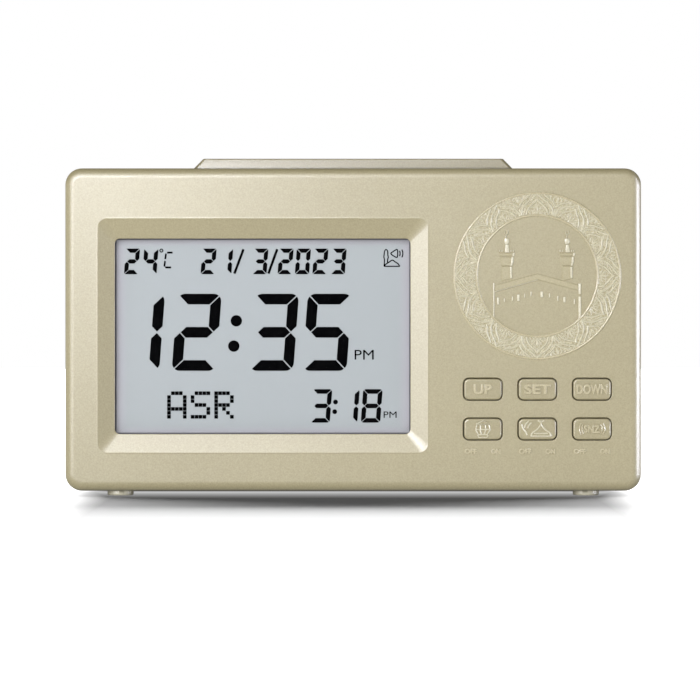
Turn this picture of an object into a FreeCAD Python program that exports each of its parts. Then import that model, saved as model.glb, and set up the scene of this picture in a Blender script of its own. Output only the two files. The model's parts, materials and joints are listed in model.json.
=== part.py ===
"""Desk clock that calls the prayer times.

A two-shell moulded case with a liquid crystal display behind a sunken bevelled window, six push
keys under a round ornament, and a long snooze bar on top.  The rear shell carries the
loudspeaker and a bay for two AA cells behind a tilt-out door.

Frame: +X to the viewer's right, +Y from the front to the back, +Z up, millimetres.  The origin is
the middle of the footprint on the table.
"""
import FreeCAD, Part
import math
import os

V = FreeCAD.Vector

# ---------------------------------------------------------------- case
BODY_WIDTH = 145.0
BODY_HEIGHT = 81.2
BODY_DEPTH = 45.0
FRONT_CASE_DEPTH = 26.5
CORNER_RADIUS = 4.2
FRONT_EDGE_RADIUS = 2.5
REAR_EDGE_RADIUS = 2.5
REAR_TAPER = 1.5            # how far each side of the rear shell draws in towards the back
WALL = 2.0                  # sides of both shells
FRONT_WALL = 2.2
BACK_WALL = 2.0
SEAM_CHAMFER = 0.3
LIP_THICKNESS = 1.0         # locating lip of the rear shell, inside the front shell
LIP_LENGTH = 1.5
LIP_ROOT = 2.0
FIT = 0.1                   # clearance between pieces that are pushed together
SEAT = 0.05                 # gap between pieces that rest on each other

FOOT_HEIGHT = 1.2
FOOT_RADIUS = 3.3
FOOT_EDGE = 0.4
FOOT_SPACING = 117.6
FRONT_FOOT_SETBACK = 5.7    # from the front face
REAR_FOOT_SETBACK = 8.0     # from the rear face

# ---------------------------------------------------------------- display window
RECESS_LEFT_MARGIN = 8.3    # from the left side of the case to the bevel
KEY_PANEL_WIDTH = 53.7      # from the bevel to the right side of the case
RECESS_TOP_MARGIN = 12.7
RECESS_BOTTOM_MARGIN = 9.7
RECESS_RADIUS = 2.3
RECESS_DEPTH = 1.6
RECESS_EDGE = 0.3           # softened rim of the bevel
BEAD_WIDTH = 0.45           # low bead round the recess
BEAD_CREST = 0.1
BEAD_HEIGHT = 0.12
BEVEL_LEFT = 4.2
BEVEL_RIGHT = 4.4
BEVEL_TOP = 5.0
BEVEL_BOTTOM = 4.6
WINDOW_RADIUS = 1.3
WINDOW_LIP = 0.8            # straight edge behind the bevel, in front of the lens
WINDOW_EDGE = 0.2           # softened corner between the bevel and the straight edge
COLLAR_WALL = 1.6
LENS_THICKNESS = 1.0
LENS_OVERLAP = 1.8          # lens margin hidden behind the window's edge

# ---------------------------------------------------------------- display stack
CELL_GAP = 0.2              # between the lens and the glass
GLASS_THICKNESS = 1.1
GLASS_SIDE = 2.0            # glass margin beyond the window
GLASS_TOP = 1.8
CONTACT_LEDGE = 3.2         # strip of the front glass that carries the contacts
GUIDE_THICKNESS = 3.8
HOLDER_WALL = 2.0
HOLDER_CLEARANCE = 0.2
RUBBER_STRIP_HEIGHT = 2.4
LED_LENGTH = 3.0
LED_HEIGHT = 1.8
LED_THICKNESS = 1.4
LED_COUNT = 2

# ---------------------------------------------------------------- circuit board
BOARD_SETBACK = 10.3        # front face of the case to the board
BOARD_THICKNESS = 1.6
BOARD_SIDE_MARGIN = 5.6
BOARD_BOTTOM_MARGIN = 4.6
BOARD_TOP_MARGIN = 6.6
BOARD_CORNER = 1.0
STANDOFF_RADIUS = 2.4
STANDOFF_GAP = 1.4          # from a standoff to the wall beside it
LEFT_SCREW_INSET = 8.0      # board screws, from the window's bottom and top
RIGHT_SCREW_INSET = 5.0     # board screws, from the board's bottom and top
BOARD_SCREW_RADIUS = 0.95
BOARD_SCREW_LENGTH = 6.0
BOARD_SCREW_HEAD = 1.9
BOARD_SCREW_HEAD_HEIGHT = 1.3

# ---------------------------------------------------------------- keys
KEY_WIDTH = 9.4
KEY_HEIGHT = 5.2
KEY_RADIUS = 1.25
KEY_GAP = 0.28              # all round, in its opening
KEY_OPENING_EDGE = 0.15     # softened rim of the opening
KEY_PROUD = 0.6
KEY_EDGE = 0.45             # rounded edge of the cap
KEY_FLANGE = 1.0            # retaining flange, beyond the opening
KEY_FLANGE_THICKNESS = 0.9
KEY_GUIDE_WALL = 0.8        # guide walls between the keys, inside the case
KEY_GUIDE_DEPTH = 2.6
KEY_STEM_RADIUS = 1.5
KEY_TRAVEL = 0.6
KEY_PITCH_X = 13.7
KEY_PITCH_Z = 10.0
KEY_CENTRE_FROM_RIGHT = 26.25
KEY_LOWER_ROW_HEIGHT = 16.8     # above the table
KEY_ROWS = (("light", "azan", "snooze"), ("up", "set", "down"))     # lower row first

SWITCH_SIZE = 6.0
SWITCH_BODY = 3.5
SWITCH_CHAMFER = 0.5
SWITCH_TOTAL = 5.0          # board to the top of the plunger
PLUNGER_RADIUS = 1.7
PLUNGER_FIT = 0.06
PLUNGER_SUNK = 1.5          # length of the plunger inside the switch
SWITCH_LEG = 0.9

# ---------------------------------------------------------------- ornament ring
ORNAMENT_CENTRE_HEIGHT = 55.3   # above the table
ORNAMENT_RADIUS = 21.0
ORNAMENT_BAND = 5.6
ORNAMENT_RIM_WIDTH = 0.4
ORNAMENT_RIM_HEIGHT = 0.2

# ---------------------------------------------------------------- snooze bar
BAR_LENGTH = 80.8
BAR_DEPTH = 18.0
BAR_RISE = 2.6
BAR_END_SLOPE = 2.5         # how far the ends draw in over the rise
BAR_SIDE_SLOPE = 0.6        # how far the long sides draw in over the rise
BAR_EDGE = 0.4              # softened top edge
BAR_RADIUS = 1.0
BAR_GAP = 0.3
BAR_SETBACK = 5.0           # front face of the case to the bar
BAR_WALL = 1.5
BAR_TOP_WALL = 1.6
BAR_FLANGE = 1.0
BAR_FLANGE_THICKNESS = 1.0
BAR_TRAVEL = 0.9
BAR_POST_RADIUS = 2.2
BAR_RIB = 1.2

# ---------------------------------------------------------------- batteries and their bay
CELL_RADIUS = 7.1
CELL_LENGTH = 49.3
CELL_NUB_RADIUS = 2.75
CELL_NUB_LENGTH = 1.2
CELL_EDGE = 0.6
CELL_PITCH = 14.9
BAY_CENTRE_FROM_LEFT = 42.5
BAY_CENTRE_HEIGHT = 28.0
BAY_CLEARANCE = 0.4         # round each cell
BAY_WALL = 1.2
SPRING_SPACE = 4.6          # free length left for a compressed spring
CONTACT_THICKNESS = 0.3
CONTACT_SIZE = 9.0
CONTACT_TAB = 3.0
CONTACT_TAB_REACH = 2.6     # tab length behind the bay's floor
SPRING_BASE_RADIUS = 3.3
SPRING_TIP_RADIUS = 2.1
SPRING_TURNS = 3.0
SPRING_WIRE = 0.6

DOOR_THICKNESS = 2.0
DOOR_GAP = 0.25
DOOR_LEDGE = 0.5            # bay walls behind the edge of the door
DOOR_RADIUS = 1.5
TONGUE_WIDTH = 8.0
TONGUE_THICKNESS = 1.2
TONGUE_REACH = 1.5
TONGUE_SPREAD = 32.0        # between the two tongues
LATCH_WIDTH = 12.0
LATCH_DEPTH = 6.0           # from the door's inner face to the far side of the bend
LATCH_THICKNESS = 0.9
LATCH_GAP = 2.2             # inside the bend of the latch
LATCH_LIP = 0.45            # rise of the finger pad above the strip
LATCH_ROOM = 0.8            # free way round the latch as it swings out
NOTCH_SIDE = 2.0            # finger room beside the latch
GRIP_RIBS = 5
GRIP_PITCH = 1.4
GRIP_INSET = 2.0            # from the door's upper edge to the first groove
GRIP_DEPTH = 0.6

# ---------------------------------------------------------------- loudspeaker
SPEAKER_HEIGHT = 43.0       # centre above the table
SPEAKER_RADIUS = 25.0
SPEAKER_FLANGE_WIDTH = 3.6
SPEAKER_FLANGE_THICKNESS = 0.9
BASKET_DEPTH = 10.0
BASKET_FLOOR_RADIUS = 13.5
BASKET_WALL = 1.1
MAGNET_RADIUS = 12.5
MAGNET_THICKNESS = 5.0
YOKE_RADIUS = 11.0
YOKE_THICKNESS = 1.0
COIL_RADIUS = 7.2
COIL_LENGTH = 2.0           # voice coil tube below the cone
CONE_THICKNESS = 0.35
CONE_DEPTH = 6.2
GASKET_THICKNESS = 0.6
GASKET_WIDTH = 1.9
SPEAKER_RING_WALL = 1.3
SPEAKER_RING_CLEARANCE = 0.3
SPEAKER_SCREW_COUNT = 3
SPEAKER_SCREW_CIRCLE = 27.9
SPEAKER_SCREW_HEAD = 3.4
SPEAKER_BOSS_RADIUS = 2.3
TERMINAL_WIDTH = 7.0
TERMINAL_REACH = 5.0
GRILLE_RADIUS = 20.0
GRILLE_SLOT = 1.8
GRILLE_SLOT_FLAT = 0.02     # straight left between the two rounded corners of a slot's end
GRILLE_PITCH = 3.8
GRILLE_SLOTS = 9

# ---------------------------------------------------------------- case screws
BOSS_SIDE_INSET = 7.9       # from the side of the case to a case screw
BOSS_END_INSET = 7.3        # from the bottom or top of the case to a case screw
FRONT_BOSS_RADIUS = 3.3
RIB_THICKNESS = 1.2         # ribs between a boss and the side of its shell
REAR_BOSS_RADIUS = 4.4
SCREW_RADIUS = 1.4
SCREW_CLEARANCE = 0.05      # round the thread, in its boss
SCREW_HEAD_RADIUS = 2.4
SCREW_HEAD_HEIGHT = 1.8
SCREW_WELL_RADIUS = 2.8
SCREW_WELL_FLOOR = 4.5      # boss left in front of the screw head
SCREW_GRIP = 9.0            # thread length in the front boss
SCREW_CROWN = 0.4           # bevelled share of a screw head's height
CROSS_REACH = 0.55          # half length of the cross, as a share of the head's radius
CROSS_SLOT = 0.5
CROSS_DEPTH = 0.8

# ---------------------------------------------------------------- parts on the back of the board
CHIP_DOME_RADIUS = 7.0
CHIP_DOME_HEIGHT = 1.6
CHIP_ABOVE_BAY = 6.0        # chip above the middle of the battery bay
SOUND_CHIP = (10.2, 4.0, 1.7)       # length, width, height
SOUND_CHIP_LEGS = 8
SOUND_CHIP_LEG = 1.0        # reach of a leg beyond the body
CRYSTAL_RADIUS = 1.0
CRYSTAL_LENGTH = 6.0
CRYSTAL_GAP = 2.0           # from the chip's resin to the crystal
CAPACITORS = ((4.0, 8.0, 0.0, 11.0), (2.5, 7.0, 9.0, 10.0))   # radius, height, offset x, offset z
SENSOR_RADIUS = 1.3

WIRE_DIAMETER = 1.2
WIRE_REST = 4.0             # straight length that leaves a terminal or meets the board
SPEAKER_WIRE_SHIFT = 7.0    # sideways, from the loudspeaker to the board
SPEAKER_WIRE_DROP = 4.0
BATTERY_WIRE_SHIFT = 5.0    # sideways, from the bay to the board
BATTERY_WIRE_SPREAD = 2.0   # up or down, from the bay to the board


def grown(span, by):
    """A (low, high) span, longer by this much at both ends."""
    return (span[0] - by, span[1] + by)


# ---------------------------------------------------------------- derived places
HALF = BODY_WIDTH / 2
FACE_Y = -(BODY_DEPTH - KEY_PROUD) / 2
BACK_Y = FACE_Y + BODY_DEPTH
SEAM_Y = FACE_Y + FRONT_CASE_DEPTH
REAR_DEPTH = BACK_Y - SEAM_Y
INNER_FACE_Y = FACE_Y + FRONT_WALL
INNER_BACK_Y = BACK_Y - BACK_WALL
BOTTOM_Z = FOOT_HEIGHT
TOP_Z = FOOT_HEIGHT + BODY_HEIGHT

RECESS_X = (-HALF + RECESS_LEFT_MARGIN, HALF - KEY_PANEL_WIDTH)
RECESS_Z = (BOTTOM_Z + RECESS_BOTTOM_MARGIN, TOP_Z - RECESS_TOP_MARGIN)
WINDOW_X = (RECESS_X[0] + BEVEL_LEFT, RECESS_X[1] - BEVEL_RIGHT)
WINDOW_Z = (RECESS_Z[0] + BEVEL_BOTTOM, RECESS_Z[1] - BEVEL_TOP)
BEAD_Y = FACE_Y - BEAD_HEIGHT
LENS_Y = FACE_Y + RECESS_DEPTH + WINDOW_LIP
GLASS_Y = LENS_Y + LENS_THICKNESS + CELL_GAP
BOARD_Y = FACE_Y + BOARD_SETBACK
BOARD_BACK_Y = BOARD_Y + BOARD_THICKNESS

GLASS_X = grown(WINDOW_X, GLASS_SIDE)
GLASS_Z = (WINDOW_Z[0] - CONTACT_LEDGE, WINDOW_Z[1] + GLASS_TOP)
CELL_Z = (WINDOW_Z[0] - FIT, GLASS_Z[1])

BOARD_X = (-HALF + BOARD_SIDE_MARGIN, HALF - BOARD_SIDE_MARGIN)
BOARD_Z = (BOTTOM_Z + BOARD_BOTTOM_MARGIN, TOP_Z - BOARD_TOP_MARGIN)

KEY_CENTRE_X = HALF - KEY_CENTRE_FROM_RIGHT
BAR_Y = (FACE_Y + BAR_SETBACK, FACE_Y + BAR_SETBACK + BAR_DEPTH)
BAR_SWITCH_Y = BOARD_BACK_Y + SWITCH_SIZE / 2
BAR_SWITCH_TOP = BOARD_Z[1] - FIT

CASE_SCREWS = [(side * (HALF - BOSS_SIDE_INSET), z)
               for side in (-1, 1)
               for z in (BOTTOM_Z + BOSS_END_INSET, TOP_Z - BOSS_END_INSET)]
LEFT_STRIP = (-HALF + WALL + RECESS_X[0]) / 2
RIGHT_STRIP = RECESS_X[1] + COLLAR_WALL + STANDOFF_RADIUS + STANDOFF_GAP
BOARD_SCREWS = ([(LEFT_STRIP, z) for z in grown(WINDOW_Z, -LEFT_SCREW_INSET)]
                + [(RIGHT_STRIP, z) for z in grown(BOARD_Z, -RIGHT_SCREW_INSET)]
                + [(HALF - WALL - STANDOFF_RADIUS - STANDOFF_GAP, ORNAMENT_CENTRE_HEIGHT)])

BAY_LENGTH = CELL_NUB_LENGTH + CELL_LENGTH + SPRING_SPACE + 2 * CONTACT_THICKNESS
BAY_CENTRE_X = -HALF + BAY_CENTRE_FROM_LEFT
BAY_X = (BAY_CENTRE_X - BAY_LENGTH / 2, BAY_CENTRE_X + BAY_LENGTH / 2)
BAY_RADIUS = CELL_RADIUS + BAY_CLEARANCE
CELL_Y = INNER_BACK_Y - BAY_RADIUS
CELL_HEIGHTS = (BAY_CENTRE_HEIGHT - CELL_PITCH / 2, BAY_CENTRE_HEIGHT + CELL_PITCH / 2)
BAY_Z = (CELL_HEIGHTS[0] - BAY_RADIUS, CELL_HEIGHTS[1] + BAY_RADIUS)
BAY_FLOOR_Y = CELL_Y - BAY_RADIUS
DOOR_WINDOW_X = (BAY_X[0] - DOOR_LEDGE, BAY_X[1] + DOOR_LEDGE)
DOOR_WINDOW_Z = (BAY_Z[0] - DOOR_LEDGE, BAY_Z[1] + DOOR_LEDGE)
HINGE_Z = DOOR_WINDOW_Z[0]      # the door turns about its lower edge, at the back face
LATCH_TOP = DOOR_WINDOW_Z[1] - DOOR_GAP + LATCH_GAP + LATCH_THICKNESS + LATCH_LIP
NOTCH_TOP = LATCH_TOP + LATCH_ROOM

SPEAKER_X = (BAY_X[1] + BAY_WALL + HALF - WALL - REAR_TAPER) / 2     # middle of its room
FLANGE_Y = INNER_BACK_Y - GASKET_THICKNESS
BASKET_FLOOR_Y = FLANGE_Y - BASKET_DEPTH
SCREW_HEAD_Y = FLANGE_Y - SPEAKER_FLANGE_THICKNESS


# ================================================================ helpers
def outline(a_range, b_range, radius, place):
    """Closed wire of a rectangle with rounded corners; place(a, b) puts its corners in space."""
    a0, a1 = a_range
    b0, b1 = b_range
    cut = radius * (1 - math.sqrt(0.5))
    corners = ((a1, b0, -1, 1), (a1, b1, -1, -1), (a0, b1, 1, -1), (a0, b0, 1, 1))
    edges, ends = [], []
    for index, (a, b, da, db) in enumerate(corners):
        along_a = place(a + da * radius, b)
        along_b = place(a, b + db * radius)
        middle = place(a + da * cut, b + db * cut)
        first, last = (along_a, along_b) if index % 2 == 0 else (along_b, along_a)
        ends.append((first, last))
        edges.append(Part.Arc(first, middle, last).toShape())
    sides = [Part.makeLine(ends[i][1], ends[(i + 1) % 4][0]) for i in range(4)]
    ordered = [edge for pair in zip(edges, sides) for edge in pair]
    return Part.Wire(ordered)


def upright(y):
    """Places an outline in the plane that faces the viewer at depth y."""
    return lambda x, z: V(x, y, z)


def level(z):
    """Places an outline in the horizontal plane at height z."""
    return lambda x, y: V(x, y, z)


def slab(x_range, z_range, radius, y0, y1):
    """Rounded plate that faces the viewer, from y0 back to y1."""
    wire = outline(x_range, z_range, radius, upright(y0))
    return Part.Face(wire).extrude(V(0, y1 - y0, 0))


def box(x_range, y_range, z_range):
    size = [b - a for a, b in (x_range, y_range, z_range)]
    return Part.makeBox(*size, V(x_range[0], y_range[0], z_range[0]))


def rod(x, z, radius, y0, y1):
    """Cylinder along Y."""
    return Part.makeCylinder(radius, y1 - y0, V(x, y0, z), V(0, 1, 0))


def post(x, y, radius, z0, z1):
    """Cylinder along Z."""
    return Part.makeCylinder(radius, z1 - z0, V(x, y, z0), V(0, 0, 1))


def ring(x, z, outer, inner, y0, y1):
    return rod(x, z, outer, y0, y1).cut(rod(x, z, inner, y0, y1))


def turned(profile, x, z):
    """Solid of revolution about the axis along Y through (x, z), from points (radius, y)."""
    points = [V(x + radius, y, z) for radius, y in profile]
    face = Part.Face(Part.makePolygon(points + points[:1]))
    return face.revolve(V(x, 0, z), V(0, 1, 0), 360)


def edges_in_plane(shape, axis, value):
    """Edges that lie wholly in the plane where the given coordinate has this value."""
    def lies(edge):
        low = getattr(edge.BoundBox, axis + "Min")
        high = getattr(edge.BoundBox, axis + "Max")
        return abs(low - value) < 1e-3 and abs(high - value) < 1e-3
    return [edge for edge in shape.Edges if lies(edge)]


def edges_within(shape, y, x_range, z_range):
    """Edges at depth y inside this rectangle."""
    def inside(edge):
        frame = edge.BoundBox
        return (x_range[0] - FIT < frame.XMin and frame.XMax < x_range[1] + FIT
                and z_range[0] - FIT < frame.ZMin and frame.ZMax < z_range[1] + FIT)
    return [edge for edge in edges_in_plane(shape, "Y", y) if inside(edge)]


def fused(first, *others):
    return first.multiFuse(list(others)).removeSplitter()


def cross_recess(x, y, z, reach, axis):
    """Cutter for the cross in a screw head; axis points out of the head."""
    half, slot = reach, CROSS_SLOT / 2
    depth = (y - CROSS_DEPTH, y) if axis > 0 else (y, y + CROSS_DEPTH)
    arms = [box((x - half, x + half), depth, (z - slot, z + slot)),
            box((x - slot, x + slot), depth, (z - half, z + half))]
    return arms[0].fuse(arms[1])


def screw(x, z, seat_y, head_radius, head_height, shank_radius, length, facing):
    """Pan head screw along Y; facing +1 has its head towards the back."""
    head = (seat_y, seat_y + facing * head_height)
    body = rod(x, z, head_radius, min(head), max(head))
    crown = edges_in_plane(body, "Y", head[1])
    body = body.makeChamfer(head_height * SCREW_CROWN, crown)
    shank = (seat_y - facing * length, seat_y)
    body = body.fuse(rod(x, z, shank_radius, min(shank), max(shank)))
    return body.cut(cross_recess(x, head[1], z, head_radius * CROSS_REACH, facing)).removeSplitter()


def wire_path(points):
    """Straight runs joined by tangent arcs, each as large as its two runs allow."""
    points = [V(*p) for p in points]
    edges, start = [], points[0]
    for before, corner, after in zip(points, points[1:], points[2:]):
        to_before = (before - corner).normalize()
        to_after = (after - corner).normalize()
        turn = math.pi - to_before.getAngle(to_after)
        shorter = min((before - corner).Length, (after - corner).Length)
        reach = 0.45 * shorter
        radius = reach / math.tan(turn / 2)
        inward = (to_before + to_after).normalize()
        middle = corner + inward * (radius / math.cos(turn / 2) - radius)
        first, last = corner + to_before * reach, corner + to_after * reach
        edges.append(Part.LineSegment(start, first).toShape())
        edges.append(Part.Arc(first, middle, last).toShape())
        start = last
    edges.append(Part.LineSegment(start, points[-1]).toShape())
    return Part.Wire(edges), points[1] - points[0]


def lead(points):
    """Insulated wire of round section along a route of points."""
    path, heading = wire_path(points)
    section = Part.Wire(Part.makeCircle(WIRE_DIAMETER / 2, V(*points[0]), heading))
    return path.makePipeShell([section], True, False)


# ================================================================ case
def case_outline(y, inset):
    """Outer line of the case at depth y, drawn in by the rear taper and by inset."""
    drawn_in = max(0.0, (y - SEAM_Y) / REAR_DEPTH) * REAR_TAPER + inset
    x_range = (-HALF + drawn_in, HALF - drawn_in)
    z_range = (BOTTOM_Z + drawn_in, TOP_Z - drawn_in)
    return outline(x_range, z_range, max(CORNER_RADIUS - inset, 0.5), upright(y))


def foot(x, y):
    """Moulded foot with a softened lower edge, rooted in the bottom wall."""
    stub = post(x, y, FOOT_RADIUS, 0, BOTTOM_Z + REAR_TAPER + WALL / 2)
    return stub.makeFillet(FOOT_EDGE, edges_in_plane(stub, "Z", 0))


def key_places():
    """Name and centre of each key."""
    for row, names in enumerate(KEY_ROWS):
        for column, name in enumerate(names):
            x = KEY_CENTRE_X + (column - 1) * KEY_PITCH_X
            yield name, x, KEY_LOWER_ROW_HEIGHT + row * KEY_PITCH_Z


def key_span(x, z, grow):
    half_width, half_height = KEY_WIDTH / 2 + grow, KEY_HEIGHT / 2 + grow
    return (x - half_width, x + half_width), (z - half_height, z + half_height)


def window_funnel():
    """Cutter for the sunken bevel and the straight window behind it."""
    ledge_y = FACE_Y + RECESS_DEPTH
    bevel = Part.makeLoft([outline(RECESS_X, RECESS_Z, RECESS_RADIUS, upright(BEAD_Y)),
                           outline(WINDOW_X, WINDOW_Z, WINDOW_RADIUS, upright(ledge_y))],
                          True, True)
    opening = slab(WINDOW_X, WINDOW_Z, WINDOW_RADIUS, ledge_y, LENS_Y)
    lens_x, lens_z = lens_span(FIT)
    seat = slab(lens_x, lens_z, WINDOW_RADIUS, LENS_Y, BOARD_Y)
    return bevel, opening, seat


def recess_bead():
    """Low bead with a sloping outer side that stands round the recess."""
    def line(y, grow):
        return outline(grown(RECESS_X, grow), grown(RECESS_Z, grow), RECESS_RADIUS + grow,
                       upright(y))
    return Part.makeLoft([line(FACE_Y, BEAD_WIDTH), line(BEAD_Y, BEAD_CREST)], True, True)


def lens_span(grow):
    return grown(WINDOW_X, LENS_OVERLAP + grow), grown(WINDOW_Z, LENS_OVERLAP + grow)


def bar_opening():
    x_range = (-BAR_LENGTH / 2 - BAR_GAP, BAR_LENGTH / 2 + BAR_GAP)
    wire = outline(x_range, grown(BAR_Y, BAR_GAP), BAR_RADIUS + BAR_GAP, level(TOP_Z - 1.5 * WALL))
    return Part.Face(wire).extrude(V(0, 0, 2 * WALL))


def ornament_rims():
    """The two thin raised circles that bound the ornament band."""
    inner = ORNAMENT_RADIUS - ORNAMENT_BAND
    return [ring(KEY_CENTRE_X, ORNAMENT_CENTRE_HEIGHT, radius, radius - ORNAMENT_RIM_WIDTH,
                 FACE_Y - ORNAMENT_RIM_HEIGHT, FACE_Y + FRONT_WALL / 2)
            for radius in (ORNAMENT_RADIUS, inner)]


def key_guides():
    """Grid of low walls inside the front that keeps each key's flange in its own cell."""
    depth = (FACE_Y + FRONT_WALL / 2, INNER_FACE_Y + KEY_GUIDE_DEPTH)
    columns, rows = len(KEY_ROWS[0]), len(KEY_ROWS)
    half = columns * KEY_PITCH_X / 2
    x_span = grown((KEY_CENTRE_X - half, KEY_CENTRE_X + half), KEY_GUIDE_WALL / 2)
    low = KEY_LOWER_ROW_HEIGHT - KEY_PITCH_Z / 2
    z_span = grown((low, low + rows * KEY_PITCH_Z), KEY_GUIDE_WALL / 2)
    upright_walls = [box(grown((x, x), KEY_GUIDE_WALL / 2), depth, z_span)
                     for x in (x_span[0] + KEY_GUIDE_WALL / 2 + i * KEY_PITCH_X
                               for i in range(columns + 1))]
    level_walls = [box(x_span, depth, grown((z, z), KEY_GUIDE_WALL / 2))
                   for z in (low + i * KEY_PITCH_Z for i in range(rows + 1))]
    return upright_walls + level_walls


def boss_ribs(y0, y1, wall_x):
    """Rib from each case screw's boss to the side of the shell."""
    ribs = []
    for x, z in CASE_SCREWS:
        x_span = (x, wall_x) if x > 0 else (-wall_x, x)
        ribs.append(box(x_span, (y0, y1), grown((z, z), RIB_THICKNESS / 2)))
    return ribs


def front_case():
    shell = Part.Face(case_outline(FACE_Y, 0)).extrude(V(0, FRONT_CASE_DEPTH, 0))
    shell = shell.makeFillet(FRONT_EDGE_RADIUS, edges_in_plane(shell, "Y", FACE_Y))
    shell = shell.makeChamfer(SEAM_CHAMFER, edges_in_plane(shell, "Y", SEAM_Y))
    cavity = Part.Face(case_outline(INNER_FACE_Y, WALL)).extrude(V(0, FRONT_CASE_DEPTH, 0))
    shell = shell.cut(cavity)
    collar = slab(grown(RECESS_X, COLLAR_WALL), grown(RECESS_Z, COLLAR_WALL),
                  RECESS_RADIUS + COLLAR_WALL, FACE_Y + FRONT_WALL / 2, LENS_Y + LENS_THICKNESS)
    bosses = [rod(x, z, FRONT_BOSS_RADIUS, FACE_Y + FRONT_WALL / 2, SEAM_Y)
              for x, z in CASE_SCREWS]
    standoffs = [rod(x, z, STANDOFF_RADIUS, FACE_Y + FRONT_WALL / 2, BOARD_Y)
                 for x, z in BOARD_SCREWS]
    feet = [foot(side * FOOT_SPACING / 2, FACE_Y + FRONT_FOOT_SETBACK) for side in (-1, 1)]
    inside = Part.Face(case_outline(INNER_FACE_Y, WALL)).extrude(V(0, FRONT_CASE_DEPTH, 0))
    feet = [stub.cut(inside) for stub in feet]
    ribs = boss_ribs(FACE_Y + FRONT_WALL / 2, BOARD_Y - FIT, HALF - WALL / 2)
    shell = fused(shell, collar, *bosses, *standoffs, *ribs, *key_guides(), *feet,
                  *ornament_rims(), recess_bead())
    cutters = list(window_funnel())
    for _, x, z in key_places():
        cutters.append(slab(*key_span(x, z, KEY_GAP), KEY_RADIUS + KEY_GAP,
                            FACE_Y - KEY_PROUD, INNER_FACE_Y))
    cutters.append(bar_opening())
    cutters += [rod(x, z, SCREW_RADIUS + SCREW_CLEARANCE, SEAM_Y - SCREW_GRIP - FIT, SEAM_Y)
                for x, z in CASE_SCREWS]
    cutters += [rod(x, z, BOARD_SCREW_RADIUS + SCREW_CLEARANCE,
                    BOARD_BACK_Y - BOARD_SCREW_LENGTH - FIT, BOARD_Y)
                for x, z in BOARD_SCREWS]
    shell = shell.cut(cutters)
    shell = shell.makeFillet(RECESS_EDGE, edges_within(shell, BEAD_Y, RECESS_X, RECESS_Z))
    shell = shell.makeFillet(WINDOW_EDGE, edges_within(shell, FACE_Y + RECESS_DEPTH,
                                                       WINDOW_X, WINDOW_Z))
    key_rims = [edge for _, x, z in key_places()
                for edge in edges_within(shell, FACE_Y, *key_span(x, z, KEY_GAP))]
    return shell.makeFillet(KEY_OPENING_EDGE, key_rims)


def latch_pocket(grow):
    """Room for the door's latch above the bay; grown by the bay's wall it is the outside."""
    half = LATCH_WIDTH / 2 + NOTCH_SIDE + grow
    reach = DOOR_THICKNESS + LATCH_DEPTH + LATCH_ROOM
    return box((BAY_CENTRE_X - half, BAY_CENTRE_X + half),
               (BACK_Y - reach - grow, INNER_BACK_Y + FIT),
               (BAY_Z[1] - BAY_RADIUS / 2, NOTCH_TOP + grow))


def bay_body():
    """Battery bay moulded inside the rear shell: two cradles that follow the cells."""
    outside = box(grown(BAY_X, BAY_WALL), (BAY_FLOOR_Y - BAY_WALL, INNER_BACK_Y + BACK_WALL / 2),
                  grown(BAY_Z, BAY_WALL))
    lower = edges_along_x(outside, BAY_FLOOR_Y - BAY_WALL)
    return outside.makeFillet(BAY_RADIUS / 2, lower)


def edges_along_x(shape, y):
    return [edge for edge in shape.Edges
            if edge.BoundBox.XLength > 2 * BAY_RADIUS and abs(edge.BoundBox.YMax - y) < 1e-3]


def bay_cutters():
    cradles = []
    for z in CELL_HEIGHTS:
        cradles.append(Part.makeCylinder(BAY_RADIUS, BAY_LENGTH, V(BAY_X[0], CELL_Y, z), V(1, 0, 0)))
        cradles.append(box(BAY_X, (CELL_Y, INNER_BACK_Y), (z - BAY_RADIUS, z + BAY_RADIUS)))
    cradles.append(box(BAY_X, (CELL_Y + CELL_RADIUS / 2, INNER_BACK_Y), BAY_Z))
    window = slab(DOOR_WINDOW_X, DOOR_WINDOW_Z, DOOR_RADIUS, INNER_BACK_Y, BACK_Y + FIT)
    half = LATCH_WIDTH / 2 + NOTCH_SIDE
    notch = box((BAY_CENTRE_X - half, BAY_CENTRE_X + half), (INNER_BACK_Y - FIT, BACK_Y + FIT),
                (BAY_Z[1], NOTCH_TOP))
    half_plate = CONTACT_SIZE / 2 + FIT
    bridge_seat = box((BAY_X[1] - CONTACT_THICKNESS - 2 * SEAT, BAY_X[1]),
                      (CELL_Y - half_plate, INNER_BACK_Y), CELL_HEIGHTS)
    return (cradles + [window, notch, bridge_seat, latch_pocket(0)] + tongue_slots()
            + contact_slots())


def tongue_places():
    return [BAY_CENTRE_X + side * TONGUE_SPREAD / 2 for side in (-1, 1)]


def tongue_slots():
    """Ways through the bay's lower wall, deep enough for the tongues to swing out."""
    swing = math.hypot(BACK_WALL + DOOR_GAP + TONGUE_THICKNESS, TONGUE_REACH + DOOR_GAP)
    depth = (BACK_Y - swing - DOOR_GAP, INNER_BACK_Y)
    half = TONGUE_WIDTH / 2 + DOOR_GAP
    return [box((x - half, x + half), depth, (BAY_Z[0] - 2 * BAY_WALL, BAY_Z[0] + DOOR_LEDGE))
            for x in tongue_places()]


def contact_slots():
    """Slits in the bay's floor for the solder tabs."""
    slots = []
    for x_range, z in ((tab_span(0), CELL_HEIGHTS[0]), (tab_span(0), CELL_HEIGHTS[1])):
        slots.append(box(grown(x_range, FIT), (BAY_FLOOR_Y - 2 * BAY_WALL, CELL_Y),
                         (z - CONTACT_TAB / 2 - FIT, z + CONTACT_TAB / 2 + FIT)))
    return slots


def tab_span(end):
    """X span of a contact plate at the left (0) or right (1) end of the bay."""
    if end == 0:
        return (BAY_X[0] + SEAT, BAY_X[0] + SEAT + CONTACT_THICKNESS)
    return (BAY_X[1] - SEAT - CONTACT_THICKNESS, BAY_X[1] - SEAT)


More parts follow.
